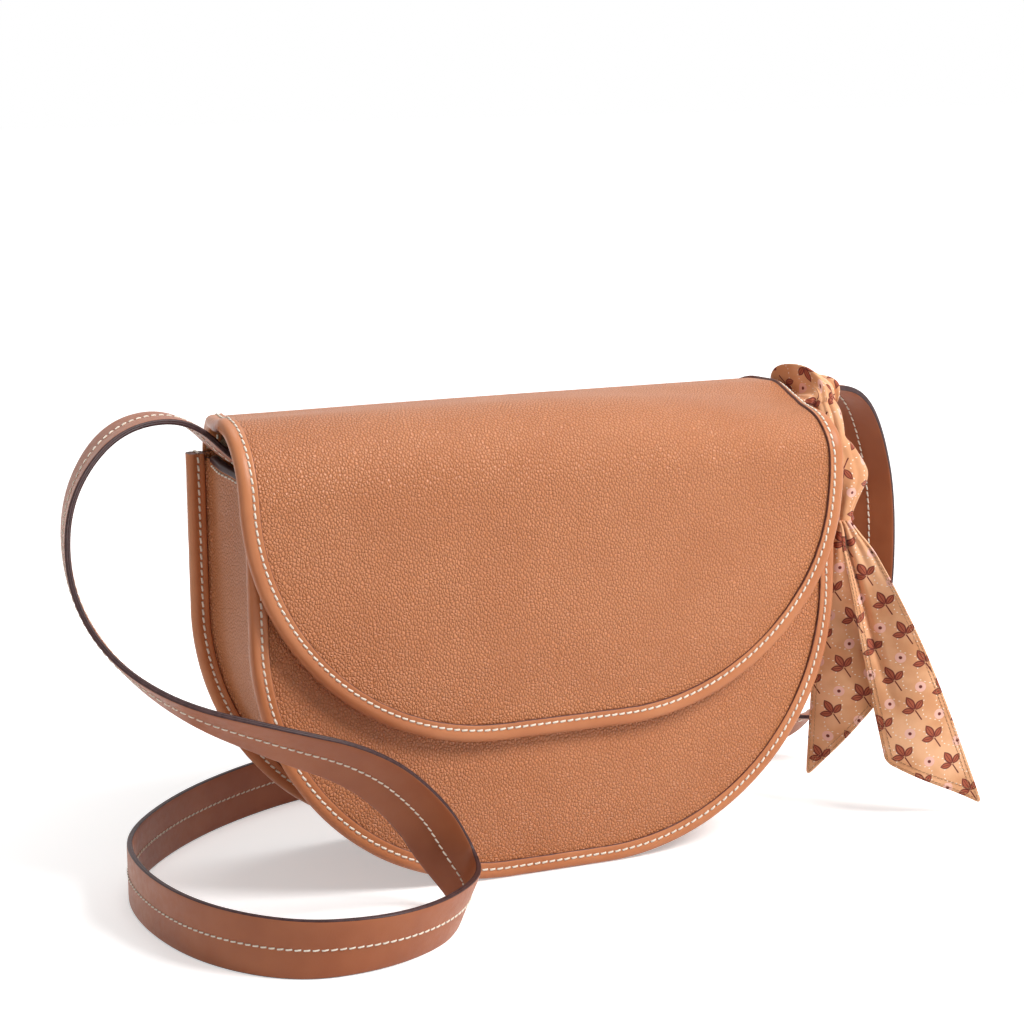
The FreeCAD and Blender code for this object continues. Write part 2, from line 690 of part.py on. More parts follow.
def tail_section(centre, along, half, fold, slant):
    """Closed wavy strip across a tail: two arcs on each face, joined at both hems."""
    across = V(-along.y, along.x, 0)
    waves = ((-1, 0), (-0.5, 1), (0, 0), (0.5, -1), (1, 0))

    def face(depth):
        points = []
        for share, lift in waves:
            place = centre + along * (half * share) + across * (fold * lift + depth)
            points.append(place + V(0, 0, slant * half * share))
        return points

    front = face(0)
    back = face(SCARF_CLOTH)
    edges = [arc(*front[0:3]), arc(*front[2:5]), line(front[4], back[4]),
             arc(*back[4:1:-1]), arc(*back[2::-1]), line(back[0], front[0])]
    return Part.Wire(edges)


def scarf_tail(side, drop, reach, end_half, slant):
    """Folded cloth that opens out from the knot to a slanting end."""
    turn = math.radians(TAIL_TURN)
    along = V(math.cos(turn), -math.sin(turn), 0)
    near = V(along.y, -along.x, 0)
    top = V(KNOT_X, KNOT_Y, KNOT_BOTTOM - HINGE_GAP) + near * (side * TAIL_SPACING)
    rows = []
    for i in range(TAIL_STEPS):
        share = i / (TAIL_STEPS - 1)
        centre = top + along * (reach * share) - V(0, 0, drop * share)
        half = TAIL_TOP_HALF + (end_half - TAIL_TOP_HALF) * share
        fold = TAIL_TOP_FOLD + (TAIL_FOLD - TAIL_TOP_FOLD) * math.sin(math.pi * share)
        rows.append(tail_section(centre, along, half, fold, slant * share))
    return Part.makeLoft(rows, True, True)


# Write every piece

os.makedirs("parts", exist_ok=True)

save("front_panel", below_mouth(front_sheet(), 0))
save("back_panel", mirror_y(front_sheet()))
save("gusset", gusset())
save("front_binding", below_mouth(front_tape(), 0))
save("back_binding", mirror_y(front_tape()))
save("front_board", front_board())
save("back_board", back_board())
save("base_board", base_board())
save("front_lining", front_lining())
save("back_lining", back_lining())
save("gusset_lining", gusset_lining())
save("front_mouth_facing", mouth_facing(-BOARD_INSIDE + LINING))
save("back_mouth_facing", mouth_facing(BACK_LINING_FRONT - FACING_LEATHER))
save("left_strap_facing", strap_facing(-1))
save("right_strap_facing", strap_facing(1))
save("zip_tape_upper", zip_tape(1))
save("zip_tape_lower", zip_tape(-1))
save("zip_teeth_upper", zip_teeth(1))
save("zip_teeth_lower", zip_teeth(-1))
save("zip_stops", zip_stops())
save("zip_slider", zip_slider())
save("zip_pull", zip_pull())
save("pocket_front", pocket_front())
save("pocket_back", pocket_back())
save("snap_socket", snap_socket())
save("snap_magnet", snap_magnet())
save("socket_washer", socket_washer())
save("snap_stud", snap_stud())
save("stud_washer", stud_washer())
save("flap_panel", flap_panel())
save("flap_board", flap_board())
save("flap_lining", flap_lining())
save("flap_binding", flap_binding())
save("flap_root", flap_root())
save("root_binding", root_binding())

strap = Strap()
save("strap_left_run", strap.band(0, LEFT_RUN_END))
save("strap_floor_loop", strap.band(LEFT_RUN_END, FLOOR_LOOP_END))
save("strap_rear_run", strap.band(FLOOR_LOOP_END, REAR_RUN_END))
save("strap_right_run", strap.band(REAR_RUN_END, strap.spans))

save("scarf_wrap", scarf_wrap(strap))
save("scarf_knot", scarf_knot(strap))
save("scarf_long_tail", scarf_tail(1, LONG_TAIL_DROP, LONG_TAIL_REACH, LONG_TAIL_HALF, LONG_TAIL_SLANT))
save("scarf_short_tail", scarf_tail(-1, SHORT_TAIL_DROP, SHORT_TAIL_REACH, SHORT_TAIL_HALF, SHORT_TAIL_SLANT))
print("strap length", round(strap.line.length()))
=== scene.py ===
"""Saddle handbag, dressed: leather shell, bindings, stitches, strap, scarf and a plain stage.

Shapes are worked out in millimetres in the part's own frame, +X to the right seen from the front,
+Y to the back and +Z up, and are written to the meshes in metres.
"""
import bpy
import math
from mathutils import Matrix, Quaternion, Vector, noise


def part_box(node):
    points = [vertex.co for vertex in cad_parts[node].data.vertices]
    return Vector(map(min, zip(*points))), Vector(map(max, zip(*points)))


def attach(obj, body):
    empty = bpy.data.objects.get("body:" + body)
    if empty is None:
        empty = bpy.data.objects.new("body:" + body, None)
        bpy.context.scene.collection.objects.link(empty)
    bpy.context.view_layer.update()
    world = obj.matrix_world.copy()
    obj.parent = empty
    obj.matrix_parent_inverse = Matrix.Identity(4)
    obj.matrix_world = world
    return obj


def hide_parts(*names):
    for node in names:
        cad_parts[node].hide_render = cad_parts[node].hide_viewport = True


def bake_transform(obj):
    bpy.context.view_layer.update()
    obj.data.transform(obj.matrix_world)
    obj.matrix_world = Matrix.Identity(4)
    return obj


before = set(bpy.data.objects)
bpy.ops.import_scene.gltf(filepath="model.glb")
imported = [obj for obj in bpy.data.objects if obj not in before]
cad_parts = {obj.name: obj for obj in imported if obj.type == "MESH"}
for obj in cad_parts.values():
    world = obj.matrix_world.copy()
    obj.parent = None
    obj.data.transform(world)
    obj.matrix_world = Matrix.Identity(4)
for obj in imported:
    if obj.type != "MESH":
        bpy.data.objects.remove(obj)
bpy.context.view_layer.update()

MM = 0.001

# Bag shell, as in the part
HALF_WIDTH = 132.5
HALF_DEPTH = 40.0
CORNER_RADIUS = 110.0
PANEL_TOP = 176.0
FRONT_DROP = 6.0
GUSSET_DROP = 2.0
PANEL_LEATHER = 1.8
GUSSET_LEATHER = 1.4
GUSSET_RECESS = 9.5
EDGE_INSET = 1.2
SNAP_HEIGHT = 92.0
BINDING_FACE = 7.5
SEAM_MIDDLE = 38.4

# Flap, as in the part
FLAP_HALF = 137.0
FLAP_BOTTOM = 61.0
FLAP_CORNER_RADIUS = 109.0
FLAP_LEATHER = 1.6
FLAP_STACK = 3.0
FLAP_START = 176.4
FLAP_NARROWS_AT = -20.0
BACK_ARC = (25.6, 176.4, 16.0)
FRONT_ARC = (-16.7, 165.0, 30.0)
ROOT_HALF = 124.5
ROOT_BOTTOM = 130.0
ROOT_CORNER_RADIUS = 16.0

# Lie of the flap, after the photograph
RIGHT_DRAW_IN = 4.5
SHOULDER_LIFT = 2.0
SHOULDER_SINK = 8.0
RIGHT_EDGE_TURN = math.radians(64.0)
LEFT_EDGE_TURN = math.radians(9.0)

# Strap and scarf, as in the part
STRAP_WIDTH = 24.0
STRAP_LEATHER = 2.4
WRAP_FIRST = 33.6
WRAP_LAST = 34.2
KNOT_END = Vector((146.5, -24.0, 135.0))
TAIL_TURN = math.radians(24.0)
TAIL_BACK = Vector((math.sin(TAIL_TURN), math.cos(TAIL_TURN), 0))
TAIL_SPACING = 5.0
TAIL_TOP_HALF = 4.0

# Tails, as in the part: drop, reach, half width of the end and its slant
LONG_TAIL = (119.6, 41.5, 22.0, -0.47)
SHORT_TAIL = (101.6, 2.0, 15.5, 1.28)

# Linings and zip window, as in the part
LINING_INSET = 13.35
SIDE_LINING_INSET = 13.0
LINING_DROP = 2.2
ZIP_HEIGHT = 126.0
WINDOW_HALF = 66.0
WINDOW_RISE = 12.0

# Thickness of the dressed cloth, and the round of the tails' corners
CLOTH = 0.5
TAIL_CLOTH = 0.9
TAIL_CORNER = 3.0

# Sewing
STITCH_PITCH = 3.4
STITCH_LENGTH = 3.0
STITCH_INSET = 4.5
FLAP_STITCH_INSET = 5.2
THREAD_RADIUS = 0.45
STITCH_SLANT = 0.13
STITCH_SIDES = 6
# Along a stitch: share of its length, and its rise and swell in thread radii
STITCH_RINGS = ((0.0, -0.8, 0.75), (0.1, 0.2, 0.95), (0.32, 0.62, 1.0),
                (0.68, 0.62, 1.0), (0.9, 0.2, 0.95), (1.0, -0.8, 0.75))

# Stage, in metres but for the floor
FLOOR_REACH = 9000.0
LAMP_AIM = Vector((0.0, 0.0, 0.10))
WORLD_LIGHT = 0.25


def mix(a, b, share):
    return a + (b - a) * share


def ease(start, end, value):
    """0 before start, 1 after end, and smooth between them."""
    share = min(max((value - start) / (end - start), 0.0), 1.0)
    return share * share * (3.0 - 2.0 * share)


def hump(start, full, fade, end, value):
    """0 before start, 1 from full to fade, 0 again after end, and smooth between them."""
    return ease(start, full, value) * (1.0 - ease(fade, end, value))


def ripple(point, size, seed=0.0):
    """Smooth unevenness from -1 to 1 with waves of about that size."""
    return noise.noise(Vector(point) / size + Vector((seed, seed * 1.7, -seed)))


def net(rows, columns, point):
    """Rows of points, from the shares of the way along and across."""
    return [[point(i / rows, j / columns) for j in range(columns + 1)] for i in range(rows + 1)]


def distances(points):
    """How far along a line of points each of them lies."""
    reach = [0.0]
    for a, b in zip(points, points[1:]):
        reach.append(reach[-1] + (b - a).length)
    return reach


# Meshes


def measured(rows, wrap):
    """Flat places of a sheet's points: measured across the row, and along the middle column."""
    middle = len(rows[0]) // 2
    flat = []
    for row, along in zip(rows, distances([row[middle] for row in rows])):
        across = distances(row + row[:1] if wrap else row)
        flat.append([(reach - across[-1] / 2, along) for reach in across])
    return flat


def add_piece(name, points, faces, corners, materials):
    """Smooth mesh piece. corners gives each face corner's place on the texture map, in order."""
    mesh = bpy.data.meshes.new(name)
    mesh.from_pydata([p * MM for p in points], [], faces)
    layer = mesh.uv_layers.new(name="flat")
    for corner, place in zip(layer.data, corners):
        corner.uv = place
    for polygon in mesh.polygons:
        polygon.use_smooth = True
    for material in materials:
        mesh.materials.append(material)
    piece = bpy.data.objects.new(name, mesh)
    bpy.context.scene.collection.objects.link(piece)
    return piece


def grid(name, rows, materials, wrap=False, loop=False, second=(), caps=False, flat=None, hole=None):
    """Mesh of quads between rows of points, with the sheet's own sizes in metres on its texture map.

    Columns numbered in second, and caps, take the second material. Quads in the hole are left out.
    """
    if loop:
        rows = rows + rows[:1]
    columns = len(rows[0])
    spans = columns if wrap else columns - 1
    flat = flat or measured(rows, wrap)
    faces = []
    corners = []
    for i in range(len(rows) - 1):
        for j in range(spans):
            k = (j + 1) % columns
            if hole and hole((rows[i][j] + rows[i + 1][k]) / 2):
                continue
            faces.append((i * columns + j, i * columns + k, (i + 1) * columns + k, (i + 1) * columns + j))
            for across, along in (flat[i][j], flat[i][j + 1], flat[i + 1][j + 1], flat[i + 1][j]):
                corners.append((across * MM, along * MM))
    quads = len(faces)
    if caps:
        first = list(range(columns))
        faces.append(first[::-1])
        faces.append([(len(rows) - 1) * columns + j for j in first])
    piece = add_piece(name, [p for row in rows for p in row], faces, corners, materials)
    for n, polygon in enumerate(piece.data.polygons):
        if n >= quads or n % spans in second:
            polygon.material_index = 1
    piece.data.set_sharp_from_angle(angle=math.radians(50))
    return piece


def thicken(piece, depth, rim=0, both=False, even=True):
    """Give a sheet its thickness, behind its face or to both sides of it."""
    wall = piece.modifiers.new("thickness", "SOLIDIFY")
    wall.thickness = depth * MM
    wall.offset = 0.0 if both else -1.0
    wall.use_even_offset = even
    wall.material_offset_rim = rim
    return piece


def settle(piece, body, slot, *nodes):
    """Ride on a body, or for 'fold' keep its place with its transform applied, and hide the nodes it stands
    for. slot is not used.
    """
    if body == "fold":
        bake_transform(piece)
    else:
        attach(piece, body)
    if nodes:
        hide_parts(*nodes)


# Materials


class Shade:
    """Node tree of one procedural material, or of the world, with short calls to add to it."""

    def __init__(self, name, world=False):
        self.owner = (bpy.data.worlds if world else bpy.data.materials).new(name)
        self.owner.use_nodes = True
        self.tree = self.owner.node_tree
        self.shader = self.tree.nodes["Background" if world else "Principled BSDF"]

    def put(self, socket, value):
        if isinstance(value, bpy.types.NodeSocket):
            self.tree.links.new(value, socket)
        else:
            socket.default_value = value

    def add(self, kind, settings=None, **inputs):
        made = self.tree.nodes.new("ShaderNode" + kind)
        for key, value in (settings or {}).items():
            setattr(made, key, value)
        for key, value in inputs.items():
            self.put(made.inputs[key.replace("_", " ")], value)
        return made

    def finish(self, **inputs):
        for key, value in inputs.items():
            self.put(self.shader.inputs[key.replace("_", " ")], value)
        return self.owner

    def flat(self):
        """Place on the sheet in metres, from its texture map."""
        return self.add("UVMap", {"uv_map": "flat"}).outputs["UV"]

    def parts(self, place):
        made = self.add("SeparateXYZ", Vector=place)
        return made.outputs["X"], made.outputs["Y"]

    def place(self):
        return self.add("TexCoord").outputs["Object"]

    def noise(self, place, size, detail=3.0, kind="3D"):
        made = self.add("TexNoise", {"noise_dimensions": kind}, Vector=place, Scale=1.0 / size, Detail=detail)
        return made.outputs["Fac"]

    def calculate(self, kind, operation, values):
        made = self.add(kind, {"operation": operation})
        for socket, value in zip(made.inputs, values):
            self.put(socket, value)
        return made.outputs[0]

    def math(self, operation, *values):
        return self.calculate("Math", operation, values)

    def vector(self, operation, *values):
        return self.calculate("VectorMath", operation, values)

    def times(self, a, b, plus=0.0):
        return self.math("MULTIPLY_ADD", a, b, plus)

    def wave(self, value, length):
        """Sine with waves of that length."""
        return self.math("SINE", self.times(value, 2.0 * math.pi / length))

    def span(self, value, low, high, to_low=0.0, to_high=1.0):
        """Map a range of values smoothly to another."""
        made = self.add("MapRange", {"interpolation_type": "SMOOTHSTEP"}, Value=value, From_Min=low,
                        From_Max=high, To_Min=to_low, To_Max=to_high)
        return made.outputs["Result"]

    def within(self, value, full, end):
        """1 up to full, 0 from end on, and smooth between them."""
        return self.span(value, full, end, 1.0, 0.0)

    def blend(self, share, first, second):
        """Colour between two colours."""
        made = self.add("Mix", {"data_type": "RGBA"})
        self.put(made.inputs[0], share)
        self.put(made.inputs[6], first)
        self.put(made.inputs[7], second)
        return made.outputs[2]

    def shake(self, place, size, amount):
        """Move places about by noise, so that a pattern on them grows uneven."""
        wander = self.add("TexNoise", {"noise_dimensions": "2D"}, Vector=place, Scale=1.0 / size, Detail=1.0)
        centred = self.vector("SUBTRACT", wander.outputs["Color"], (0.5, 0.5, 0.5))
        return self.vector("MULTIPLY_ADD", centred, (amount, amount, amount), place)

    def bump(self, height, depth, strength=1.0):
        return self.add("Bump", Height=height, Distance=depth, Strength=strength).outputs["Normal"]

    def seen(self):
        """1 for what is looked at, also in a mirror or through glass, and 0 for the light on other things."""
        light = self.add("LightPath")
        rays = self.math("ADD", light.outputs["Is Camera Ray"], light.outputs["Is Glossy Ray"])
        rays = self.math("ADD", rays, light.outputs["Is Transmission Ray"])
        return self.math("MINIMUM", rays, 1.0)


CARAMEL = (0.525, 0.176, 0.054, 1)
# painted shade for the creases of the grain
CARAMEL_CREASE_SHADE = (0.440, 0.134, 0.039, 1)
CARAMEL_LIGHT = (0.565, 0.202, 0.070, 1)


def pebbled_leather():
    """Tumbled leather: small rounded cells with soft creases between them, with painted shade in the creases.
    """
    cell = 0.00118
    shade = Shade("pebbled_leather")
    flat = shade.flat()
    uneven = shade.shake(flat, 0.0030, 0.0007)
    slanting = shade.add("Mapping", Vector=uneven, Rotation=(0, 0, 0.7), Scale=(1.0, 0.78, 1.0))
    cells = []
    for feature in ("F1", "DISTANCE_TO_EDGE"):
        voronoi = shade.add("TexVoronoi", {"voronoi_dimensions": "2D", "feature": feature},
                            Vector=slanting.outputs["Vector"], Scale=1.0 / cell, Randomness=0.92)
        cells.append(voronoi.outputs["Distance"])
    dome = shade.within(cells[0], 0.0, 0.75)
    crease = shade.span(cells[1], 0.0, 0.26)
    pores = shade.noise(flat, 0.0004, 2.0, "2D")
    height = shade.times(pores, 0.10, shade.times(crease, 0.5))
    height = shade.times(dome, 0.5, height)
    clouds = shade.noise(shade.place(), 0.035)
    tone = shade.blend(shade.span(clouds, 0.3, 0.7), CARAMEL, CARAMEL_LIGHT)
    # painted shade: the creases between the cells are darker than their tops
    tone = shade.blend(shade.span(height, 0.1, 0.6), CARAMEL_CREASE_SHADE, tone)
    rough = shade.span(height, 0.3, 0.9, 0.54, 0.40)
    return shade.finish(Base_Color=tone, Roughness=rough, Normal=shade.bump(height, 0.00050),
                        Specular_IOR_Level=0.7)


def smooth_leather(name, deep, light):
    """Finished leather: fine pores, faint creases and soft clouds of colour."""
    shade = Shade(name)
    place = shade.place()
    pores = shade.noise(place, 0.0005)
    lines = shade.noise(place, 0.003, 4.0)
    clouds = shade.noise(place, 0.03)
    tone = shade.blend(shade.span(clouds, 0.3, 0.7), deep, light)
    rough = shade.span(lines, 0.3, 0.7, 0.46, 0.36)
    height = shade.times(lines, 0.7, pores)
    return shade.finish(Base_Color=tone, Roughness=rough, Normal=shade.bump(height, 0.00008, 0.6),
                        Specular_IOR_Level=0.32)


def painted_edge(name, deep, light):
    """Edge paint over the cut leather, a little lumpy."""
    shade = Shade(name)
    lumps = shade.noise(shade.place(), 0.002, 2.0)
    tone = shade.blend(shade.span(lumps, 0.3, 0.7), deep, light)
    rough = shade.span(lumps, 0.3, 0.7, 0.38, 0.50)
    return shade.finish(Base_Color=tone, Roughness=rough, Normal=shade.bump(lumps, 0.0001, 0.5),
                        Specular_IOR_Level=0.25)


def sewing_thread(name, light, shadow):
    """Twisted thread, with painted shade where it dives into its holes. The map runs along each stitch from 0
    to 1.
    """
    shade = Shade(name)
    around, along = shade.parts(shade.flat())
    ply = shade.wave(shade.times(along, 6.0, around), 0.5)
    end = shade.math("ABSOLUTE", shade.math("SUBTRACT", along, 0.5))
    # painted shade at both ends of each stitch, where it dives into its holes
    tone = shade.blend(shade.span(end, 0.34, 0.5), light, shadow)
    return shade.finish(Base_Color=tone, Roughness=0.65, Normal=shade.bump(ply, 0.00006, 0.6))


def woven_cloth(name, deep, light, thread):
    """Plain cloth with a visible twill of warp and weft."""
    shade = Shade(name)
    flat = shade.flat()
    across, along = shade.parts(flat)
    ridge = shade.wave(shade.math("ADD", across, along), thread)
    height = shade.times(shade.wave(across, thread / 2), 0.4, ridge)
    slubs = shade.noise(flat, 0.0015, 3.0, "2D")
    share = shade.times(height, 0.18, slubs)
    tone = shade.blend(shade.span(share, 0.2, 0.8), deep, light)
    return shade.finish(Base_Color=tone, Roughness=0.85, Normal=shade.bump(height, 0.00012, 0.7),
                        Specular_IOR_Level=0.25)


def metal(name, colour, rough):
    """Plated metal with faint brushing and handling marks."""
    shade = Shade(name)
    place = shade.place()
    marks = shade.noise(place, 0.0015, 4.0)
    clouds = shade.noise(place, 0.006, 2.0)
    dull = tuple(c * 0.82 for c in colour[:3]) + (1,)
    tone = shade.blend(shade.span(clouds, 0.35, 0.65), dull, colour)
    roughness = shade.span(marks, 0.3, 0.7, rough, rough + 0.14)
    return shade.finish(Base_Color=tone, Metallic=1.0, Roughness=roughness,
                        Normal=shade.bump(marks, 0.00003, 0.4))


def fibre_board():
    """Pressed fibre board, mottled and dull."""
    shade = Shade("fibre_board")
    fibres = shade.noise(shade.place(), 0.0012, 5.0)
    tone = shade.blend(shade.span(fibres, 0.3, 0.7), (0.20, 0.15, 0.11, 1), (0.36, 0.29, 0.22, 1))
    return shade.finish(Base_Color=tone, Roughness=0.9, Normal=shade.bump(fibres, 0.00015, 0.6))


def printed_cotton():
    """Peach cotton with leaf sprigs, small rings and winding rows of pin dots, over a fine weave."""
    repeat = 0.0155
    dot_pitch = repeat / 9.0
    yarn = 0.0006
    rust = (0.400, 0.100, 0.050, 1)
    rust_dark = (0.150, 0.026, 0.020, 1)
    pink = (0.820, 0.470, 0.380, 1)
    white = (0.90, 0.80, 0.68, 1)
    shade = Shade("printed_cotton")
    flat = shade.flat()
    across, along = shade.parts(flat)

    def centred(value, length, offset=0.0):
        """Distance from the middle of a repeat of that length."""
        share = shade.math("FRACT", shade.times(value, 1.0 / length, offset))
        return shade.times(shade.math("SUBTRACT", share, 0.5), length)

    def turned(x, y, degrees):
        turn = math.radians(degrees)
        u = shade.times(x, math.cos(turn), shade.times(y, math.sin(turn)))
        v = shade.times(y, math.cos(turn), shade.times(x, -math.sin(turn)))
        return u, v

    def leaf(x, y, degrees, size):
        """Below 1 inside a pointed leaf that starts mid-repeat, and the distance from its rib."""
        u, v = turned(x, y, degrees)
        rib = shade.math("ABSOLUTE", v)
        length = shade.math("DIVIDE", shade.math("SUBTRACT", u, size * 0.56), size * 0.5)
        return shade.times(length, length, shade.math("DIVIDE", rib, size * 0.26)), rib

    def away(x, y):
        return shade.math("SQRT", shade.times(x, x, shade.times(y, y)))

    slant_x, slant_y = turned(across, along, 34)
    x = centred(slant_x, repeat)
    y = centred(slant_y, repeat)
    ring_x = centred(slant_x, repeat, 0.5)
    ring_y = centred(slant_y, repeat, 0.5)
    clouds = shade.noise(flat, 0.02, 3.0, "2D")
    tone = shade.blend(shade.span(clouds, 0.3, 0.7), (0.660, 0.312, 0.150, 1), (0.825, 0.455, 0.255, 1))
    sway = shade.times(shade.wave(slant_y, repeat), 0.0022, ring_x)
    lane = shade.math("SUBTRACT", shade.math("ABSOLUTE", sway), 0.0036)
    dots = away(centred(slant_y, dot_pitch), lane)
    tone = shade.blend(shade.within(dots, 0.00020, 0.00034), tone, white)
    stem_y = shade.math("ABSOLUTE", shade.math("ADD", y, 0.0026))
    stem = shade.times(shade.within(shade.math("ABSOLUTE", x), 0.00022, 0.00036),
                       shade.within(stem_y, 0.0024, 0.0027))
    tone = shade.blend(stem, tone, rust_dark)
    for degrees, size in ((90, 0.0066), (24, 0.0054), (156, 0.0054)):
        inside, rib = leaf(x, y, degrees, size)
        tone = shade.blend(shade.within(inside, 0.95, 1.15), tone, rust_dark)
        tone = shade.blend(shade.within(inside, 0.58, 0.78), tone, rust)
        vein = shade.times(shade.within(rib, 0.00008, 0.0002), shade.within(inside, 0.45, 0.6))
        tone = shade.blend(vein, tone, rust_dark)
    ring = away(ring_x, ring_y)
    tone = shade.blend(shade.within(ring, 0.0022, 0.0025), tone, pink)
    tone = shade.blend(shade.within(ring, 0.0006, 0.0009), tone, rust_dark)
    weave = shade.times(shade.wave(across, yarn), shade.wave(along, yarn))
    height = shade.times(weave, 0.3, shade.noise(flat, 0.0012, 3.0, "2D"))
    return shade.finish(Base_Color=tone, Roughness=0.8, Normal=shade.bump(height, 0.0001, 0.6),
                        Specular_IOR_Level=0.2, Sheen_Weight=0.15)


PEBBLED = pebbled_leather()
SMOOTH = smooth_leather("smooth_leather", (0.465, 0.160, 0.062, 1), (0.540, 0.205, 0.086, 1))
# painted shade: the strap takes a darker, redder copy of the smooth leather for the shade it lies in
STRAP_SHADED_LEATHER = smooth_leather("strap_leather_shaded", (0.315, 0.090, 0.033, 1), (0.380, 0.120, 0.047, 1))
PAINT = painted_edge("painted_edge", (0.034, 0.012, 0.012, 1), (0.060, 0.026, 0.026, 1))
RAW = painted_edge("raw_edge", (0.095, 0.030, 0.021, 1), (0.150, 0.050, 0.034, 1))
# the second colour of each thread is its painted shade at the holes
THREAD = sewing_thread("cream_thread", (0.930, 0.850, 0.720, 1), (0.160, 0.070, 0.040, 1))
BROWN_THREAD = sewing_thread("brown_thread", (0.420, 0.210, 0.100, 1), (0.200, 0.090, 0.045, 1))
COTTON = printed_cotton()
LINING = woven_cloth("lining_cloth", (0.330, 0.215, 0.135, 1), (0.480, 0.340, 0.225, 1), 0.0012)
TAPE_CLOTH = woven_cloth("zip_tape_cloth", (0.270, 0.120, 0.060, 1), (0.350, 0.165, 0.085, 1), 0.0009)
BRASS = metal("brass", (0.780, 0.560, 0.290, 1), 0.26)
STEEL = metal("snap_steel", (0.700, 0.610, 0.470, 1), 0.30)
FERRITE = metal("magnet_metal", (0.300, 0.290, 0.280, 1), 0.42)
BOARD = fibre_board()


# Round the D of the bag


def d_stations(side=26, corner=46, base=14):
    """Stations from the left of the mouth, round the base, to the right of the mouth.

    A station is a run and a share of it: left side, left corner, base, right corner, right side.
    """
    counts = (side, corner, base, corner, side)
    stations = [(run, i / count) for run, count in enumerate(counts) for i in range(count)]
    return stations + [(4, 1.0)]


def d_place(station, inset, top):
    """Place seen from the front, drawn in from the outline by inset."""
    run, share = station
    radius = CORNER_RADIUS - inset
    flat = HALF_WIDTH - CORNER_RADIUS
    if run == 0:
        return inset - HALF_WIDTH, mix(top, CORNER_RADIUS, share)
    if run == 4:
        return HALF_WIDTH - inset, mix(CORNER_RADIUS, top, share)
    if run == 2:
        return mix(-flat, flat, share), inset
    side = run - 2
    angle = math.pi * 1.5 + side * math.pi / 2 * (1.0 - share if side < 0 else share)
    return side * flat + radius * math.cos(angle), CORNER_RADIUS + radius * math.sin(angle)


def mouth(y):
    """Height of the mouth, which falls to the front."""
    return PANEL_TOP - FRONT_DROP * (HALF_DEPTH - y) / (2 * HALF_DEPTH)


def d_sweep(name, profile, materials, drop=0.0, form=None, **options):
    """Carry a profile of insets and depths round the D."""
    rows = []
    for station in d_stations():
        row = []
        for inset, y in profile:
            inset = form(station, inset, y) if form else inset
            x, z = d_place(station, inset, mouth(y) - drop)
            row.append(Vector((x, y, z)))
        rows.append(row)
    return grid(name, rows, materials, **options)


def d_rows(inset, top, corner=40, side=22):
    """Heights and half widths of the D, from the base up."""
    stations = [(3, i / corner) for i in range(corner)] + [(4, i / side) for i in range(side + 1)]
    places = [d_place(station, inset, top) for station in stations]
    return [(z, x) for x, z in places]


def d_panel(name, inset, top, side, depth, materials, columns=72):
    """Sheet that fills the D, facing the front or the back. depth gives its place in Y."""
    rows = []
    for z, half in d_rows(inset, top):
        places = [-side * half * (2 * j / columns - 1) for j in range(columns + 1)]
        rows.append([Vector((x, depth(x, z, half), z)) for x in places])
    return grid(name, rows, materials)


# Shell


def front_depth(x, z, half):
    """Front panel: a soft crown below the flap, pressed flat beneath it and round the snap."""
    crown = (1.0 - (x / half) ** 2) * ease(0.0, 32.0, z)
    swell = mix(2.8, 0.9, ease(38.0, 70.0, z)) * (1.0 - ease(120.0, 168.0, z))
    snap = ease(11.0, 26.0, math.hypot(x, z - SNAP_HEIGHT))
    return -HALF_DEPTH - crown * swell * snap - 0.25 * ripple((x, 0, z), 30.0)


def back_depth(x, z, half):
    """Back panel: a soft crown that ends below the sewn root of the flap."""
    crown = (1.0 - (x / half) ** 2) * hump(0.0, 32.0, 92.0, 128.0, z)
    return HALF_DEPTH + 1.8 * crown + 0.2 * ripple((x, 0, z), 30.0, 4.0) * (1.0 - ease(110.0, 128.0, z))


def gusset_form(station, inset, y):
    """Gusset: pulled in along its middle on the upper sides, softly swelled to either side of that."""
    run, share = station
    height = {0: 1.0 - share, 4: share}.get(run, 0.0)
    middle = math.exp(-(y / 7.0) ** 2)
    swell = math.exp(-((abs(y) - 19.0) / 9.0) ** 2)
    lean = ease(0.1, 0.9, height) * (1.0 - 0.6 * ease(0.85, 1.0, height))
    uneven = 0.3 * ripple((run * 40.0 + share * 60.0, y, 0), 14.0, 2.0)
    return inset + lean * 0.5 * middle - (0.5 + 1.5 * lean) * swell + uneven


def binding_profile(side):
    """Folded tape from its raw edge on the panel, round the seam, to its raw edge on the gusset."""
    outer = [(BINDING_FACE, -39.7), (BINDING_FACE, -40.8), (7.2, -41.1), (6.2, -41.2), (5.2, -41.0),
             (STITCH_INSET, -40.8), (3.8, -41.05), (2.8, -41.3), (1.6, -41.1), (0.7, -40.5), (0.15, -39.5)]
    inner = [(inset, -2 * SEAM_MIDDLE - y) for inset, y in reversed(outer[1:])]
    front = outer + [(0.0, -SEAM_MIDDLE)] + inner + [(BINDING_FACE, -37.0)]
    if side < 0:
        return front
    return [(inset, -y) for inset, y in reversed(front)]


def binding_form(station, inset, y):
    run, share = station
    return inset + 0.18 * ripple((run * 60.0 + share * 70.0, y * 0.2, inset * 0.2), 9.0, y)


def build_gusset_rims():
    """Painted bead over the top of the gusset and the ply behind it, at either side."""
    inner = 12.7
    for side, name, station in ((-1, "left", (0, 0.0)), (1, "right", (4, 1.0))):
        rows = []
        for i in range(35):
            y = mix(-34.0, 34.0, i / 34)
            top = mouth(y) - GUSSET_DROP
            outer = gusset_form(station, GUSSET_RECESS, y) - 0.35
            bead = [(inner, -1.4), (inner, 0.1), (inner - 0.5, 0.7), (mix(inner - 0.5, outer, 0.5), 0.9),
                    (outer + 0.6, 0.7), (outer, 0.1), (outer, -1.3), (outer + 0.5, -1.6)]
            row = [Vector((side * (HALF_WIDTH - inset), y, top + rise)) for inset, rise in bead]
            rows.append(row[::side])
        rim = grid(name + "_gusset_rim", rows, [PAINT], wrap=True, caps=True)
        settle(rim, "bag", "smooth_leather")


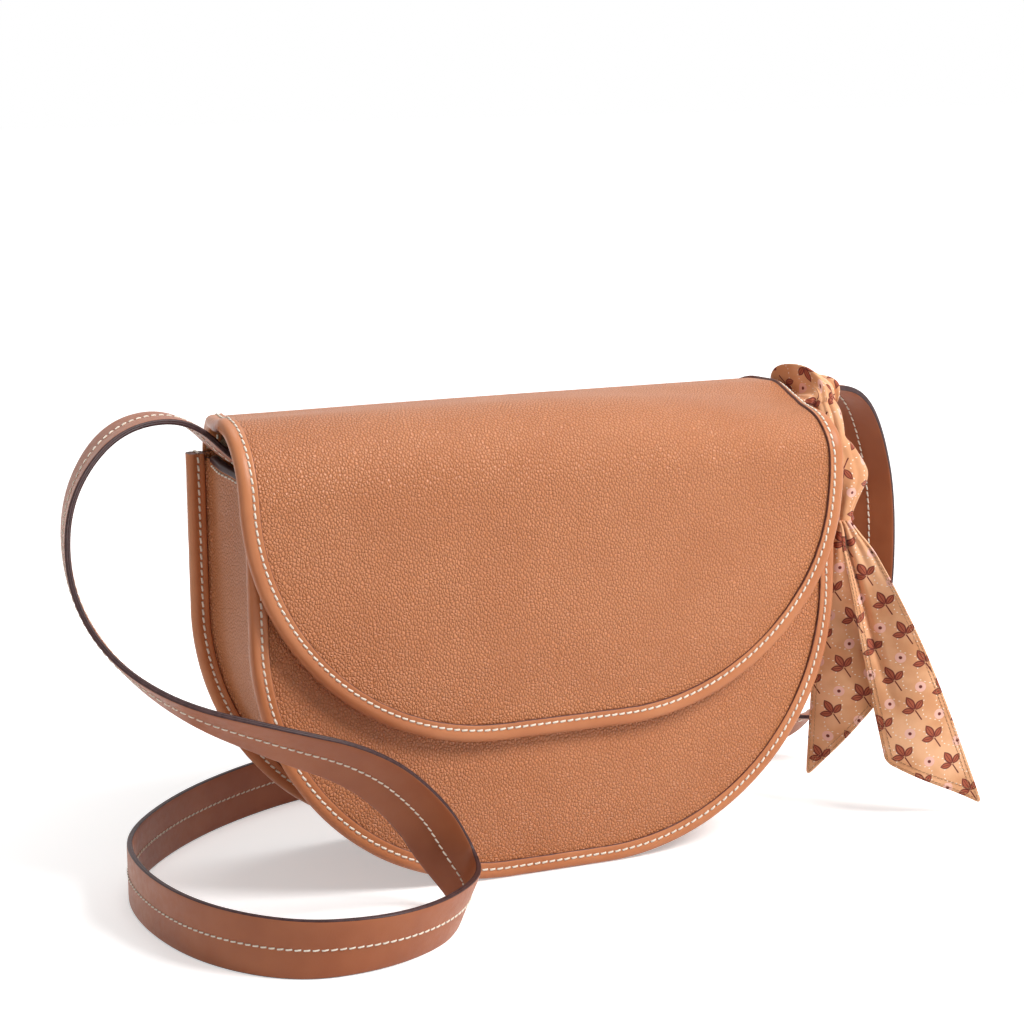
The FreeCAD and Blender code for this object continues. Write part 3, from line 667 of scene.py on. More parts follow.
def build_shell():
    for name, side, depth in (("front", -1, front_depth), ("back", 1, back_depth)):
        top = mouth(side * HALF_DEPTH)
        panel = d_panel(name + "_leather", EDGE_INSET, top, side, depth, [PEBBLED, PAINT])
        settle(thicken(panel, PANEL_LEATHER, 1), "bag", "pebbled_leather", name + "_panel")
    half = [(37.6, 3.0), (37.0, 6.0), (36.0, 8.4), (34.6, 9.2), (32.0, GUSSET_RECESS)]
    half += [(y, GUSSET_RECESS) for y in (28, 25, 22, 19, 16, 13, 10, 7.5, 5, 2.5)]
    profile = [(inset, -y) for y, inset in half] + [(GUSSET_RECESS, 0.0)]
    profile += [(inset, y) for y, inset in reversed(half)]
    gusset = d_sweep("gusset_leather", profile, [PEBBLED, PAINT], GUSSET_DROP, gusset_form)
    settle(thicken(gusset, GUSSET_LEATHER, 1), "bag", "pebbled_leather", "gusset")
    build_gusset_rims()
    for name, side in (("front_binding", -1), ("back_binding", 1)):
        profile = binding_profile(side)
        last = len(profile) - 2
        tape = d_sweep(name + "_tape", profile, [SMOOTH, RAW], 0.0, binding_form,
                       wrap=True, second=(0, 1, last - 1, last), caps=True)
        settle(tape, "bag", "smooth_leather", name)


# Stitches


def paced(points, pitch, closed=False):
    """Places at a steady pitch along a line of (point, normal), each with its direction and normal."""
    if closed:
        points = points + points[:1]
    length = sum((b[0] - a[0]).length for a, b in zip(points, points[1:]))
    count = max(1, round(length / pitch))
    step = length / count
    places = []
    ahead = step / 2
    for (a, normal), (b, _) in zip(points, points[1:]):
        run = (b - a).length
        while run > 1e-9 and ahead <= run:
            places.append((a.lerp(b, ahead / run), (b - a) / run, normal))
            ahead += step
        ahead -= run
    return places


def stitch(points, faces, corners, place, direction, normal, length, radius):
    """One thread stitch that rises out of a hole, lies on the face and dives into the next hole."""
    across = normal.cross(direction).normalized()
    lie = (direction + across * STITCH_SLANT).normalized()
    start = len(points)
    for share, rise, swell in STITCH_RINGS:
        middle = place + lie * (length * (share - 0.5)) + normal * (rise * radius)
        for k in range(STITCH_SIDES):
            angle = 2 * math.pi * k / STITCH_SIDES
            points.append(middle + (across * math.cos(angle) + normal * math.sin(angle)) * (radius * swell))
    for ring in range(len(STITCH_RINGS) - 1):
        for k in range(STITCH_SIDES):
            a = start + ring * STITCH_SIDES + k
            b = start + ring * STITCH_SIDES + (k + 1) % STITCH_SIDES
            faces.append((a, b, b + STITCH_SIDES, a + STITCH_SIDES))
            for side, at in ((k, ring), (k + 1, ring), (k + 1, ring + 1), (k, ring + 1)):
                corners.append((side / STITCH_SIDES, STITCH_RINGS[at][0]))


def stitches(name, lines, material=None, pitch=STITCH_PITCH, length=STITCH_LENGTH, radius=THREAD_RADIUS,
             closed=False):
    """One mesh with every stitch along some lines of (point, normal)."""
    points = []
    faces = []
    corners = []
    for line in lines:
        for place, direction, normal in paced(line, pitch, closed):
            stitch(points, faces, corners, place, direction, normal, length, radius)
    return add_piece(name, points, faces, corners, [material or THREAD])


def d_line(inset, y, normal_y, drop):
    """Seam line round the D at one depth, which ends below the mouth by drop."""
    normal = Vector((0, normal_y, 0))
    places = [d_place(station, inset, mouth(y) - drop) for station in d_stations()]
    return [(Vector((x, y, z)), normal) for x, z in places]


def build_shell_stitches():
    """Seams along the bindings, the gusset's tops and the front's mouth, and a tie at each binding's end."""
    faces = ((-40.82, -1), (-35.98, 1), (35.98, -1), (40.82, 1))
    lines = [d_line(STITCH_INSET, y, normal, 1.0) for y, normal in faces]
    settle(stitches("binding_stitches", lines), "bag", "smooth_leather")
    lines = []
    for side, station in ((-1, (0, 0.06)), (1, (4, 0.94))):
        line = []
        for i in range(27):
            y = mix(-33.0, 33.0, i / 26)
            x = side * (HALF_WIDTH - gusset_form(station, GUSSET_RECESS, y))
            line.append((Vector((x, y, mouth(y) - GUSSET_DROP - 2.6)), Vector((side, 0, 0))))
        lines.append(line)
    settle(stitches("gusset_stitches", lines), "bag", "pebbled_leather")
    line = []
    z = mouth(-HALF_DEPTH) - 4.0
    for i in range(61):
        x = mix(-122.0, 122.0, i / 60)
        line.append((Vector((x, front_depth(x, z, HALF_WIDTH), z)), Vector((0, -1, 0))))
    settle(stitches("mouth_stitches", [line]), "bag", "pebbled_leather")
    lines = []
    for side in (-1, 1):
        x = side * (HALF_WIDTH - STITCH_INSET)
        for ends in ((-35.8, -41.0), (35.8, 41.0)):
            lines.append([(Vector((x, y, mouth(y) + 0.1)), Vector((0, 0, 1))) for y in ends])
    settle(stitches("binding_ties", lines, pitch=5.2, length=5.6, radius=0.5), "bag", "smooth_leather")


# Flap

# Seen from the side: the back arc, the straight top, the front arc and the upright front
APART = math.hypot(BACK_ARC[0] - FRONT_ARC[0], BACK_ARC[1] - FRONT_ARC[1])
TIGHTER = FRONT_ARC[2] - BACK_ARC[2]
CROWN = math.atan2(BACK_ARC[1] - FRONT_ARC[1], BACK_ARC[0] - FRONT_ARC[0]) + math.acos(TIGHTER / APART)
BACK_RUN = BACK_ARC[2] * CROWN
TOP_RUN = math.sqrt(APART ** 2 - TIGHTER ** 2)
FRONT_RUN = FRONT_ARC[2] * (math.pi - CROWN)
# The front counts as upright a hair before its arc ends
UPRIGHT_ANGLE = math.acos(-0.999999)
UPRIGHT = BACK_RUN + TOP_RUN + FRONT_ARC[2] * (UPRIGHT_ANGLE - CROWN)
HEM = UPRIGHT + FRONT_ARC[1] - FLAP_BOTTOM


def on_arc(arc, angle):
    """Place (y, z) and normal on a round of the flap seen from the side."""
    y, z, radius = arc
    return y + radius * math.cos(angle), z + radius * math.sin(angle), math.cos(angle), math.sin(angle)


def flap_side(s):
    """Outer face of the flap seen from the side, s from the fold at the back: place (y, z) and normal."""
    if s < 0:
        y, z, normal_y, normal_z = on_arc(BACK_ARC, 0.0)
        return y, z + s, normal_y, normal_z
    if s < BACK_RUN:
        return on_arc(BACK_ARC, s / BACK_ARC[2])
    s -= BACK_RUN
    if s < TOP_RUN:
        y, z, normal_y, normal_z = on_arc(BACK_ARC, CROWN)
        return y - normal_z * s, z + normal_y * s, normal_y, normal_z
    s -= TOP_RUN
    if s < FRONT_RUN:
        return on_arc(FRONT_ARC, CROWN + s / FRONT_ARC[2])
    y, z, normal_y, normal_z = on_arc(FRONT_ARC, math.pi)
    return y, z - (s - FRONT_RUN), normal_y, normal_z


def flap_half(s, side):
    """Half width of the flap laid flat. The right side is soon full, and then draws in on its way down."""
    if side > 0:
        drawn_in = RIGHT_DRAW_IN * hump(30.0, 84.0, 100.0, 170.0, s)
        return mix(ROOT_HALF, FLAP_HALF, ease(-4.0, 26.0, s)) - drawn_in
    share = (HALF_DEPTH - flap_side(s)[0]) / (HALF_DEPTH - FLAP_NARROWS_AT)
    return mix(ROOT_HALF, FLAP_HALF, min(max(share, 0.0), 1.0))


def flap_rows(inset, start=None):
    """Distance from the fold and half widths, left and right, from the sewn root over the top to the hem."""
    rows = []
    if start is None:
        for i in range(9):
            angle = math.pi / 2 * i / 8
            radius = ROOT_CORNER_RADIUS - inset
            s = ROOT_BOTTOM + ROOT_CORNER_RADIUS - radius * math.cos(angle) - FLAP_START
            half = ROOT_HALF - ROOT_CORNER_RADIUS + radius * math.sin(angle)
            rows.append((s, half, half))
        start = rows[-1][0] + 3.0
    corner_top = UPRIGHT - 5.0
    count = round((corner_top - start) / 2.6)
    for i in range(count):
        s = mix(start, corner_top, i / count)
        rows.append((s, flap_half(s, -1) - inset, flap_half(s, 1) - inset))
    radius = FLAP_CORNER_RADIUS - inset
    for i in range(53):
        angle = math.pi / 2 * (1 - i / 52)
        s = mix(corner_top, HEM - inset, math.cos(angle))
        half = radius * math.sin(angle) - FLAP_CORNER_RADIUS
        rows.append((s, flap_half(s, -1) + half, flap_half(s, 1) + half))
    return rows


def flap_swell(x, s):
    """How far the flap's leather stands out, softly crowned and a little uneven."""
    half = flap_half(s, x)
    edge = min(half - abs(x), HEM - s)
    inside = ease(6.0, 36.0, edge) * ease(10.0, 60.0, s)
    crown = 1.6 * (1.0 - (x / half) ** 2)
    return inside * (crown + 0.9 * ripple((x, s, 0), 70.0, 3.0) + 0.25 * ripple((x, s, 0), 24.0, 5.0))


def shoulder_lean(x, s):
    """How far the front shoulder stands off its even curve: lifted on the left, sunk on the right."""
    lean = SHOULDER_LIFT * ease(20.0, 130.0, -x) - SHOULDER_SINK * ease(20.0, 130.0, x)
    return lean * hump(40.0, 74.0, 74.0, 112.0, s)


def edge_turn(s, side):
    """Turned-down edge on top of the flap: how far inside it starts, the length of its bend and its angle."""
    if side > 0:
        return 10.0, 7.0, RIGHT_EDGE_TURN * hump(6.0, 40.0, 40.0, 110.0, s) + 0.001
    return 12.0, 9.0, LEFT_EDGE_TURN * hump(4.0, 20.0, 46.0, 86.0, s) + 0.001


def flap_middle(x, s):
    """Point on the outer face of the flap before its leather swells."""
    side = 1 if x > 0 else -1
    inside, bend, angle = edge_turn(s, side)
    start = flap_half(s, side) - inside
    reach = abs(x) - start
    along = reach
    down = 0.0
    if reach > 0:
        turned = angle * min(reach / bend, 1.0)
        straight = max(reach - bend, 0.0)
        along = bend / angle * math.sin(turned) + straight * math.cos(angle)
        down = bend / angle * (1.0 - math.cos(turned)) + straight * math.sin(angle)
    y, z, normal_y, normal_z = flap_side(s)
    out = shoulder_lean(x, s) - down
    return Vector((side * (start + along), y + normal_y * out, z + normal_z * out))


def flap_normal(x, s):
    step = 0.4
    across = flap_middle(x + step, s) - flap_middle(x - step, s)
    along = flap_middle(x, s + step) - flap_middle(x, s - step)
    return along.cross(across).normalized()


def flap_point(x, s, rise):
    """Point that stands above the flap's outer face by rise."""
    return flap_middle(x, s) + flap_normal(x, s) * rise


def flap_sheet(name, inset, rise, materials, start=None, swell=False, columns=84):
    """One layer of the flap, from edge to edge."""
    rows = []
    for s, left, right in flap_rows(inset, start):
        places = [mix(right, -left, j / columns) for j in range(columns + 1)]
        rows.append([flap_point(x, s, rise + (flap_swell(x, s) if swell else 0.0)) for x in places])
    return grid(name, rows, materials)


def flap_edge():
    """Round the flap laid flat: up the right side, along the hem, down the left and along the root.

    Each entry is a place (x, s) and the direction inwards from the edge.
    """
    rows = flap_rows(0.0)
    hem, hem_half = rows[-1][0], rows[-1][1]
    root, root_half = rows[0][0], rows[0][1]
    ring = [(right, s) for s, left, right in rows]
    ring += [(mix(hem_half, -hem_half, i / 14), hem) for i in range(1, 14)]
    ring += [(-left, s) for s, left, right in reversed(rows)]
    ring += [(mix(-root_half, root_half, i / 56), root) for i in range(1, 56)]
    edge = []
    for n, place in enumerate(ring):
        following = ring[(n + 1) % len(ring)]
        along = Vector(following) - Vector(ring[n - 1])
        along.normalize()
        edge.append((place, (-along.y, along.x)))
    return edge


def flap_tape_profile():
    """Folded tape from its raw edge outside, round the flap's edge, to its raw edge inside."""
    outer = [(BINDING_FACE, -0.3), (BINDING_FACE, 0.8), (7.2, 1.1), (6.6, 1.15), (5.9, 1.0),
             (FLAP_STITCH_INSET, 0.8), (4.5, 1.05), (3.2, 1.3), (1.7, 1.1), (0.7, 0.5), (0.15, -0.5),
             (0.0, -1.5)]
    inner = [(inset, -FLAP_STACK - rise) for inset, rise in reversed(outer[:-1])]
    return outer + inner


def build_flap_tape(edge):
    """The tape is squeezed flat where it lies on the back, and full round the free edge."""
    profile = flap_tape_profile()
    rows = []
    for n, ((x, s), (in_x, in_s)) in enumerate(edge):
        squeeze = mix(0.36, 1.0, ease(-1.0, 9.0, s))
        row = []
        for inset, rise in profile:
            rise = rise if rise > 0 else rise * squeeze
            inset += 0.15 * ripple((n * 3.5, inset * 0.3, rise * 0.3), 9.0, 7.0)
            row.append(flap_point(x + in_x * inset, s + in_s * inset, rise))
        rows.append(row)
    last = len(profile) - 2
    tape = grid("flap_edge_tape", rows, [SMOOTH, RAW], wrap=True, loop=True, second=(0, 1, last - 1, last))
    settle(tape, "fold", "smooth_leather", "flap_binding", "root_binding")


def build_flap_stitches(edge):
    outside = []
    inside = []
    for (x, s), (in_x, in_s) in edge:
        place = (x + in_x * FLAP_STITCH_INSET, s + in_s * FLAP_STITCH_INSET)
        normal = flap_normal(*place)
        outside.append((flap_point(*place, 0.82), normal))
        if s > 4.0:
            inside.append((flap_point(*place, -FLAP_STACK - 0.82), -normal))
    settle(stitches("flap_stitches", [outside], closed=True), "fold", "smooth_leather")
    settle(stitches("flap_inner_stitches", [inside]), "flap", "smooth_leather")


def build_flap():
    leather = flap_sheet("flap_leather", EDGE_INSET, 0.0, [PEBBLED, PAINT], swell=True)
    settle(thicken(leather, FLAP_LEATHER, 1), "fold", "pebbled_leather", "flap_panel", "flap_root")
    board = flap_sheet("flap_stiffener", BINDING_FACE, -FLAP_LEATHER - 0.2, [BOARD], start=2.0)
    settle(thicken(board, 0.5), "flap", "stiffening_board", "flap_board")
    lining = flap_sheet("flap_inner_cloth", EDGE_INSET, -FLAP_STACK, [LINING], start=1.0)
    lining.data.flip_normals()
    settle(thicken(lining, CLOTH), "flap", "lining_cloth", "flap_lining")
    edge = flap_edge()
    build_flap_tape(edge)
    build_flap_stitches(edge)


# Strap


def strap_route():
    """Points of the strap's middle line, with the lean and turn of its width in degrees.

    The left end and the right end of the floor loop follow the photograph. The rest is the part's route.
    """
    left = -HALF_WIDTH
    right = HALF_WIDTH
    rise = PANEL_TOP
    edge = STRAP_WIDTH / 2
    end = 14.4
    low = 140.0
    return [
        (left + end, 0, low, 0, 0), (left + end, 0, rise - 12, 0, 0), (left + end, 0, rise - 1, 0, 0),
        (left + 7, -1, rise + 2, 0, 0), (left - 14, -2, rise + 23, 0, 0),
        (left - 44, -9, rise + 20.5, 0, -6), (left - 67, -24, rise - 3, 4, -10),
        (left - 72, -39, rise - 34, 8, -12), (left - 61, -52, rise - 61, 15, -18),
        (left - 37, -64, rise - 82, 28, -18), (left - 2, -74, rise - 96, 43, -8),
        (left + 34, -75, rise - 110, 54, -4), (left + 59, -68, rise - 133, 56, 14),
        (left + 72, -63, rise - 154, 58, 38), (left + 77, -72, edge + 0.2, 60, 44),
        (left + 70, -91, edge - 0.8, 60, 12), (left + 50, -111, edge - 0.8, 62, -16),
        (left + 21, -123, edge - 0.1, 74, -10), (left - 12, -118, edge + 0.1, 86, 0),
        (left - 37, -84, edge, 90, 0), (left - 46, -36, edge, 90, 0), (left - 40, 12, edge, 90, 0),
        (left - 10, 54, edge, 90, 0), (left + 30, 87, edge, 90, 0), (left + 78, 110, edge, 90, 0),
        (left + 140, 116, edge, 90, 0), (right - 60, 108, edge, 90, 0), (right - 2, 90, edge, 72, 0),
        (right + 34, 68, edge + 1, 46, 0), (right + 57, 50, edge + 20, 18, 14),
        (right + 66, 38, edge + 62, 4, 38), (right + 61, 29, rise - 46, 0, 52),
        (right + 50, 22, rise - 12, 0, 44), (right + 37, 15, rise + 9, 0, 28),
        (right + 18, 7, rise + 15, 0, 10), (right - 1, 1, rise + 8, 0, 0), (right - end, 0, rise + 5, 0, 0),
        (right - end, 0, rise - 8, 0, 0), (right - end, 0, low, 0, 0),
    ]


def spline_points(poles, steps):
    """Points along the smooth NURBS line of those poles."""
    curve = bpy.data.curves.new("route", "CURVE")
    curve.dimensions = "3D"
    curve.resolution_u = steps
    spline = curve.splines.new("NURBS")
    spline.points.add(len(poles) - 1)
    for point, pole in zip(spline.points, poles):
        point.co = (*pole, 1.0)
    spline.order_u = 3
    spline.use_endpoint_u = True
    carrier = bpy.data.objects.new("route", curve)
    mesh = bpy.data.meshes.new_from_object(carrier)
    points = [v.co.copy() for v in mesh.vertices]
    bpy.data.objects.remove(carrier)
    bpy.data.curves.remove(curve)
    bpy.data.meshes.remove(mesh)
    return points


def width_direction(lean, turn):
    lean = math.radians(lean)
    turn = math.radians(turn)
    return (math.sin(turn) * math.cos(lean), -math.cos(turn) * math.cos(lean), math.sin(lean))


def strap_frames():
    """Middle, width direction and face direction at close steps along the strap."""
    route = strap_route()
    middles = spline_points([p[:3] for p in route], 14)
    widths = spline_points([width_direction(*p[3:]) for p in route], 14)
    frames = []
    for n, (middle, width) in enumerate(zip(middles, widths)):
        along = (middles[min(n + 1, len(middles) - 1)] - middles[max(n - 1, 0)]).normalized()
        across = (width - along * width.dot(along)).normalized()
        frames.append((middle, across, along.cross(across)))
    return frames


FRAMES = strap_frames()
SPANS = len(strap_route()) - 2


def strap_at(span):
    """Frame of the strap after that many spans of its route."""
    place = span / SPANS * (len(FRAMES) - 1)
    n = min(int(place), len(FRAMES) - 2)
    return [a.lerp(b, place - n) for a, b in zip(FRAMES[n], FRAMES[n + 1])]


def build_strap():
    """Two plies of leather with painted edges and a seam along the middle of both faces."""
    half = STRAP_WIDTH / 2
    deep = STRAP_LEATHER / 2
    top = [(half - 0.15, 0.75), (half - 0.5, deep - 0.1), (half - 1.1, deep), (half - 2.6, deep + 0.05),
           (2.2, deep), (1.0, deep - 0.06), (0.0, deep - 0.16)]
    top += [(-u, v) for u, v in reversed(top[:-1])]
    edge = [(-half, 0.3), (0.16 - half, 0.0), (-half, -0.3)]
    profile = top + edge + [(-u, -v) for u, v in top + edge]
    outer = [abs(u) > half - 0.6 for u, v in profile]
    painted = [n for n in range(len(profile)) if outer[n] and outer[(n + 1) % len(profile)]]
    rows = []
    for middle, across, face in FRAMES:
        rows.append([middle + across * u + face * v for u, v in profile])
    band = grid("shoulder_strap", rows, [STRAP_SHADED_LEATHER, PAINT], wrap=True, second=painted, caps=True)
    settle(band, "bag", "smooth_leather", "strap_left_run", "strap_floor_loop", "strap_rear_run",
           "strap_right_run")
    lines = []
    for out in (0.14 - deep, deep - 0.14):
        side = math.copysign(1.0, out)
        lines.append([(middle + face * out, face * side) for middle, across, face in FRAMES])
    settle(stitches("strap_stitches", lines, radius=0.36), "bag", "smooth_leather")


# Scarf


def smooth_through(points, steps):
    """Smooth line of numbers through rows of numbers."""
    line = []
    for n in range(len(points) - 1):
        before = points[max(n - 1, 0)]
        after = points[min(n + 2, len(points) - 1)]
        for i in range(steps):
            t = i / steps
            row = []
            for p, a, b, q in zip(before, points[n], points[n + 1], after):
                row.append(0.5 * (2 * a + (b - p) * t + (2 * p - 5 * a + 4 * b - q) * t * t
                                  + (3 * a - p - 3 * b + q) * t ** 3))
            line.append(row)
    return line + [list(points[-1])]


def gathered_cloth(name, node, entries, steps, around, place):
    """Tube of scarf cloth, smooth through its entries. place gives a point from its angle and an entry."""
    rows = []
    for entry in smooth_through(entries, steps):
        rows.append([place(2 * math.pi * j / around, *entry) for j in range(around)])
    cloth = grid(name, rows, [COTTON], wrap=True)
    settle(thicken(cloth, CLOTH, even=False), "bag", "scarf_cotton", node)
    return cloth


def build_wrap():
    """Two turns of cloth round the strap: a low one outside, and one beside the bag whose fold stands up.

    Each entry is a share of the way towards the bag, and the room over, in front of and below the strap.
    """
    fullness = [(0.0, 0.5, 0.4, 0.3), (0.07, 3.2, 2.4, 2.0), (0.18, 4.6, 3.4, 7.0), (0.25, 2.4, 1.6, 7.0),
                (0.32, 6.0, 3.4, 8.0), (0.46, 10.0, 4.2, 8.0), (0.58, 13.0, 4.2, 7.0), (0.65, 9.2, 3.8, 6.0),
                (0.72, 2.4, 3.4, 5.0), (0.87, 0.4, 1.6, 2.0), (1.0, 0.3, 0.4, 0.4)]

    def place(turn, share, above, before, below):
        angle = turn - math.pi / 2
        front = math.cos(angle)
        up = math.sin(angle)
        room = 0.3 * math.sin(14 * math.pi * share + 2.0 * math.sin(angle + 0.6)) * min(before, 1.0)
        if front < 0:
            before *= 0.6
            below *= 0.3
        room += (above if up > 0 else below) * up * up + before * front * front
        peak = mix(0.5, 0.85, ease(3.0, 9.0, above)) if up > 0 else 0.5
        u = math.copysign(abs(front) ** peak, front) * (STRAP_WIDTH / 2 + room)
        v = math.copysign(abs(up) ** 0.8, up) * (STRAP_LEATHER / 2 + room)
        middle, across, face = strap_at(mix(WRAP_FIRST - 0.15, WRAP_LAST + 0.31, share))
        return middle + across * u + face * v

    cloth = gathered_cloth("scarf_turns", "scarf_wrap", fullness, 8, 64, place)


def build_knot():
    """Gathered cloth that leaves the front of the turns and swells into the knot.

    Each entry is a height, a place (x, y) and the radius of the gathered cloth there.
    """
    shape = [(187.0, 145.4, -7.0, 3.4), (181.0, 146.6, -10.0, 4.8), (175.0, 147.2, -12.5, 4.8),
             (169.5, 147.4, -15.5, 4.0), (165.0, 148.8, -18.0, 5.6), (157.0, 150.6, -20.5, 7.2),
             (152.0, 150.4, -22.0, 7.0), (146.0, 148.6, -23.2, 5.4), (140.0, 147.2, -24.0, 3.9),
             (136.5, 146.8, -24.2, 3.3), (134.0, 146.8, -24.2, 3.9)]

    def place(angle, z, x, y, size):
        fold = 0.08 * math.sin(4 * angle + z / 9.0) + 0.04 * math.sin(9 * angle - z / 6.0)
        fold -= 0.3 * math.exp(-((angle - 4.6) / 0.28) ** 2) * ease(166.0, 174.0, z)
        out = Vector((math.cos(angle), math.sin(angle), 0.14 * math.cos(angle - 0.7)))
        return Vector((x, y, z)) + out * size * (1.0 + fold)

    cloth = gathered_cloth("scarf_knot_cloth", "scarf_knot", shape, 7, 56, place)


def long_fold(u, share):
    """Depth of the long tail: a narrow strip folded along its left edge and one soft slanting wave."""
    gather = 1.0 - ease(0.0, 0.3, share)
    valley = math.exp(-((u + 0.62 - 0.2 * share) / 0.15) ** 2) * (1.0 - ease(0.4, 0.8, share))
    wave = 2.6 * math.sin(2.4 * u + 5.2 * share + 0.6) * ease(0.08, 0.4, share)
    return 3.8 * valley + wave + 0.5 * gather * math.sin(3.0 * math.pi * u + 0.7)


def short_fold(u, share):
    """Depth of the short tail: two soft waves that open towards its end."""
    gather = 1.0 - ease(0.0, 0.4, share)
    wave = 2.0 * math.sin(2.6 * u - 3.4 * share + 1.2) * ease(0.1, 0.5, share) - 6.5 * u * share
    return wave + 1.0 * gather * math.sin(2.5 * math.pi * u + 0.4)


def round_corner(aside, above, radius):
    """Distances from a tail's side and end, drawn in so that its corner is round."""
    a = max(radius - aside, 0.0) / radius
    b = max(radius - above, 0.0) / radius
    return (aside + radius * a * (1.0 - math.sqrt(1.0 - b * b / 2)),
            above + radius * b * (1.0 - math.sqrt(1.0 - a * a / 2)))


def tail_half(end_half, share):
    """Half width of a tail, narrow in the knot and soon full."""
    full = mix(TAIL_TOP_HALF, end_half, share) + 2.0 * math.sin(math.pi * share ** 0.8)
    return full * mix(0.6, 1.0, ease(0.0, 0.12, share))


def tail_points(side, tail, fold):
    """Places on a tail, gathered at the knot and opening to a slanting end, with their flat places."""
    drop, reach, end_half, slant = tail
    along = Vector((math.cos(TAIL_TURN), -math.sin(TAIL_TURN), 0))
    top = KNOT_END - Vector((0, 0, 0.4)) - TAIL_BACK * (side * TAIL_SPACING)

    def point(down, across):
        u = 2 * across - 1
        half = tail_half(end_half, down)
        aside, above = round_corner(half * (1.0 - abs(u)), drop * (1.0 - down), TAIL_CORNER)
        share = 1.0 - above / drop
        half = tail_half(end_half, share)
        u = math.copysign(1.0 - aside / half, u)
        bow = 2.6 * math.sin(math.pi * share ** 0.7) * max(side, 0)
        place = top + along * (reach * share + bow + half * u) + TAIL_BACK * fold(u, share)
        place.z += slant * share * half * u - drop * share
        place.z += 0.3 * ripple((u * 20, share * 90, side), 18.0)
        return place

    rows = net(80, 56, point)
    return rows, [[((place - top).dot(along), place.z) for place in row] for row in rows]


def tail_seam(rows, inset):
    """Seam line near the side and end hems of a tail, on its front."""
    line = []
    first = 6
    last = len(rows[0]) - 1
    near = round(inset * last)
    stop = len(rows) - 1 - round(inset * 0.35 * (len(rows) - 1))
    ring = [(i, near) for i in range(first, stop)]
    ring += [(stop, j) for j in range(near, last - near)]
    ring += [(i, last - near) for i in range(stop, first, -1)]
    for i, j in ring:
        a = rows[i][min(j + 1, last)] - rows[i][max(j - 1, 0)]
        b = rows[min(i + 1, len(rows) - 1)][j] - rows[max(i - 1, 0)][j]
        normal = a.cross(b).normalized()
        if normal.dot(TAIL_BACK) > 0:
            normal = -normal
        line.append((rows[i][j] + normal * 0.5, normal))
    return line


def build_tail(name, node, side, tail, fold):
    rows, flat = tail_points(side, tail, fold)
    cloth = grid(name, rows, [COTTON], flat=flat)
    settle(thicken(cloth, TAIL_CLOTH, both=True, even=False), node, "scarf_cotton", node)
    lines = [tail_seam(rows, inset) for inset in (0.035, 0.09)]
    seams = stitches(name + "_seams", lines, BROWN_THREAD, 1.9, 1.5, 0.14)
    settle(seams, node, "scarf_cotton")


def build_scarf():
    build_wrap()
    build_knot()
    build_tail("scarf_tail_long", "scarf_long_tail", 1, LONG_TAIL, long_fold)
    build_tail("scarf_tail_short", "scarf_short_tail", -1, SHORT_TAIL, short_fold)


# Inside


def node_box(node):
    """Lowest and highest corners of a node in millimetres."""
    low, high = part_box(node)
    return low / MM, high / MM


def inside_sheet(name, node, material, face, slot, columns=40, rows=24, uneven=0.3):
    """Upright sheet that fills a node's box, facing the front or the back, a little uneven."""
    low, high = node_box(node)
    y = low.y if face < 0 else high.y
    left, right = (low.x, high.x) if face < 0 else (high.x, low.x)

    def point(up, across):
        x = mix(left, right, across)
        z = mix(low.z, high.z, up)
        depth = y - face * uneven * abs(ripple((x, 0, z), 18.0, 9.0))
        return Vector((x, depth, min(z, mouth(y) - GUSSET_DROP)))

    piece = grid(name, net(rows, columns, point), [material, PAINT])
    rim = 1 if slot == "smooth_leather" else 0
    settle(thicken(piece, (high.y - low.y) * 0.9, rim), "bag", slot, node)


def build_linings():
    """Cloth inside the front and back, the back one with the window of the zip, and round the gusset."""
    front_y = node_box("front_lining")[1].y
    back_y = node_box("back_lining")[0].y

    def front(x, z, half):
        return front_y + 0.5 * abs(ripple((x, 0, z), 26.0, 1.0))

    def back(x, z):
        return back_y - 0.4 * abs(ripple((x, 0, z), 26.0, 6.0)) * ease(8.0, 20.0, abs(z - ZIP_HEIGHT))

    def window(point):
        return abs(point.x) < WINDOW_HALF and abs(point.z - ZIP_HEIGHT) < WINDOW_RISE / 2

    cloth = d_panel("front_inner_cloth", LINING_INSET, mouth(-36.0) - LINING_DROP, 1, front, [LINING])
    settle(thicken(cloth, CLOTH), "bag", "lining_cloth", "front_lining")
    widest = HALF_WIDTH - LINING_INSET
    heights = [row for row in d_rows(LINING_INSET, 173.6) if abs(row[0] - ZIP_HEIGHT) > 8.0]
    heights += [(ZIP_HEIGHT + side * WINDOW_RISE / 2, widest) for side in (-1, 1)]
    sides = [0.5 + side * WINDOW_HALF / (2 * widest) for side in (-1, 1)]
    shares = sorted([round(i / 36, 4) for i in range(37)] + sides)
    rows = []
    for z, half in sorted(heights):
        places = [half * (2 * share - 1) for share in shares]
        rows.append([Vector((x, back(x, z), z)) for x in places])
    cloth = grid("back_inner_cloth", rows, [LINING], hole=window)
    settle(thicken(cloth, CLOTH), "bag", "lining_cloth", "back_lining")
    profile = [(SIDE_LINING_INSET, y) for y in range(36, -37, -4)]
    cloth = d_sweep("side_inner_cloth", profile, [LINING], LINING_DROP)
    settle(thicken(cloth, CLOTH), "bag", "lining_cloth", "gusset_lining")


def build_inside():
    build_linings()
    for name, face in (("front_mouth", 1), ("back_mouth", -1)):
        inside_sheet(name + "_leather", name + "_facing", SMOOTH, face, "smooth_leather")
    for node in ("zip_tape_upper", "zip_tape_lower"):
        inside_sheet(node + "_cloth", node, TAPE_CLOTH, -1, "zip_tape_cloth", 60, 6, 0.05)
    for node in ("pocket_front", "pocket_back"):
        inside_sheet(node + "_cloth", node, LINING, -1, "lining_cloth")
    for node, side in (("left_strap_facing", -1), ("right_strap_facing", 1)):
        build_strap_ply(node, side)


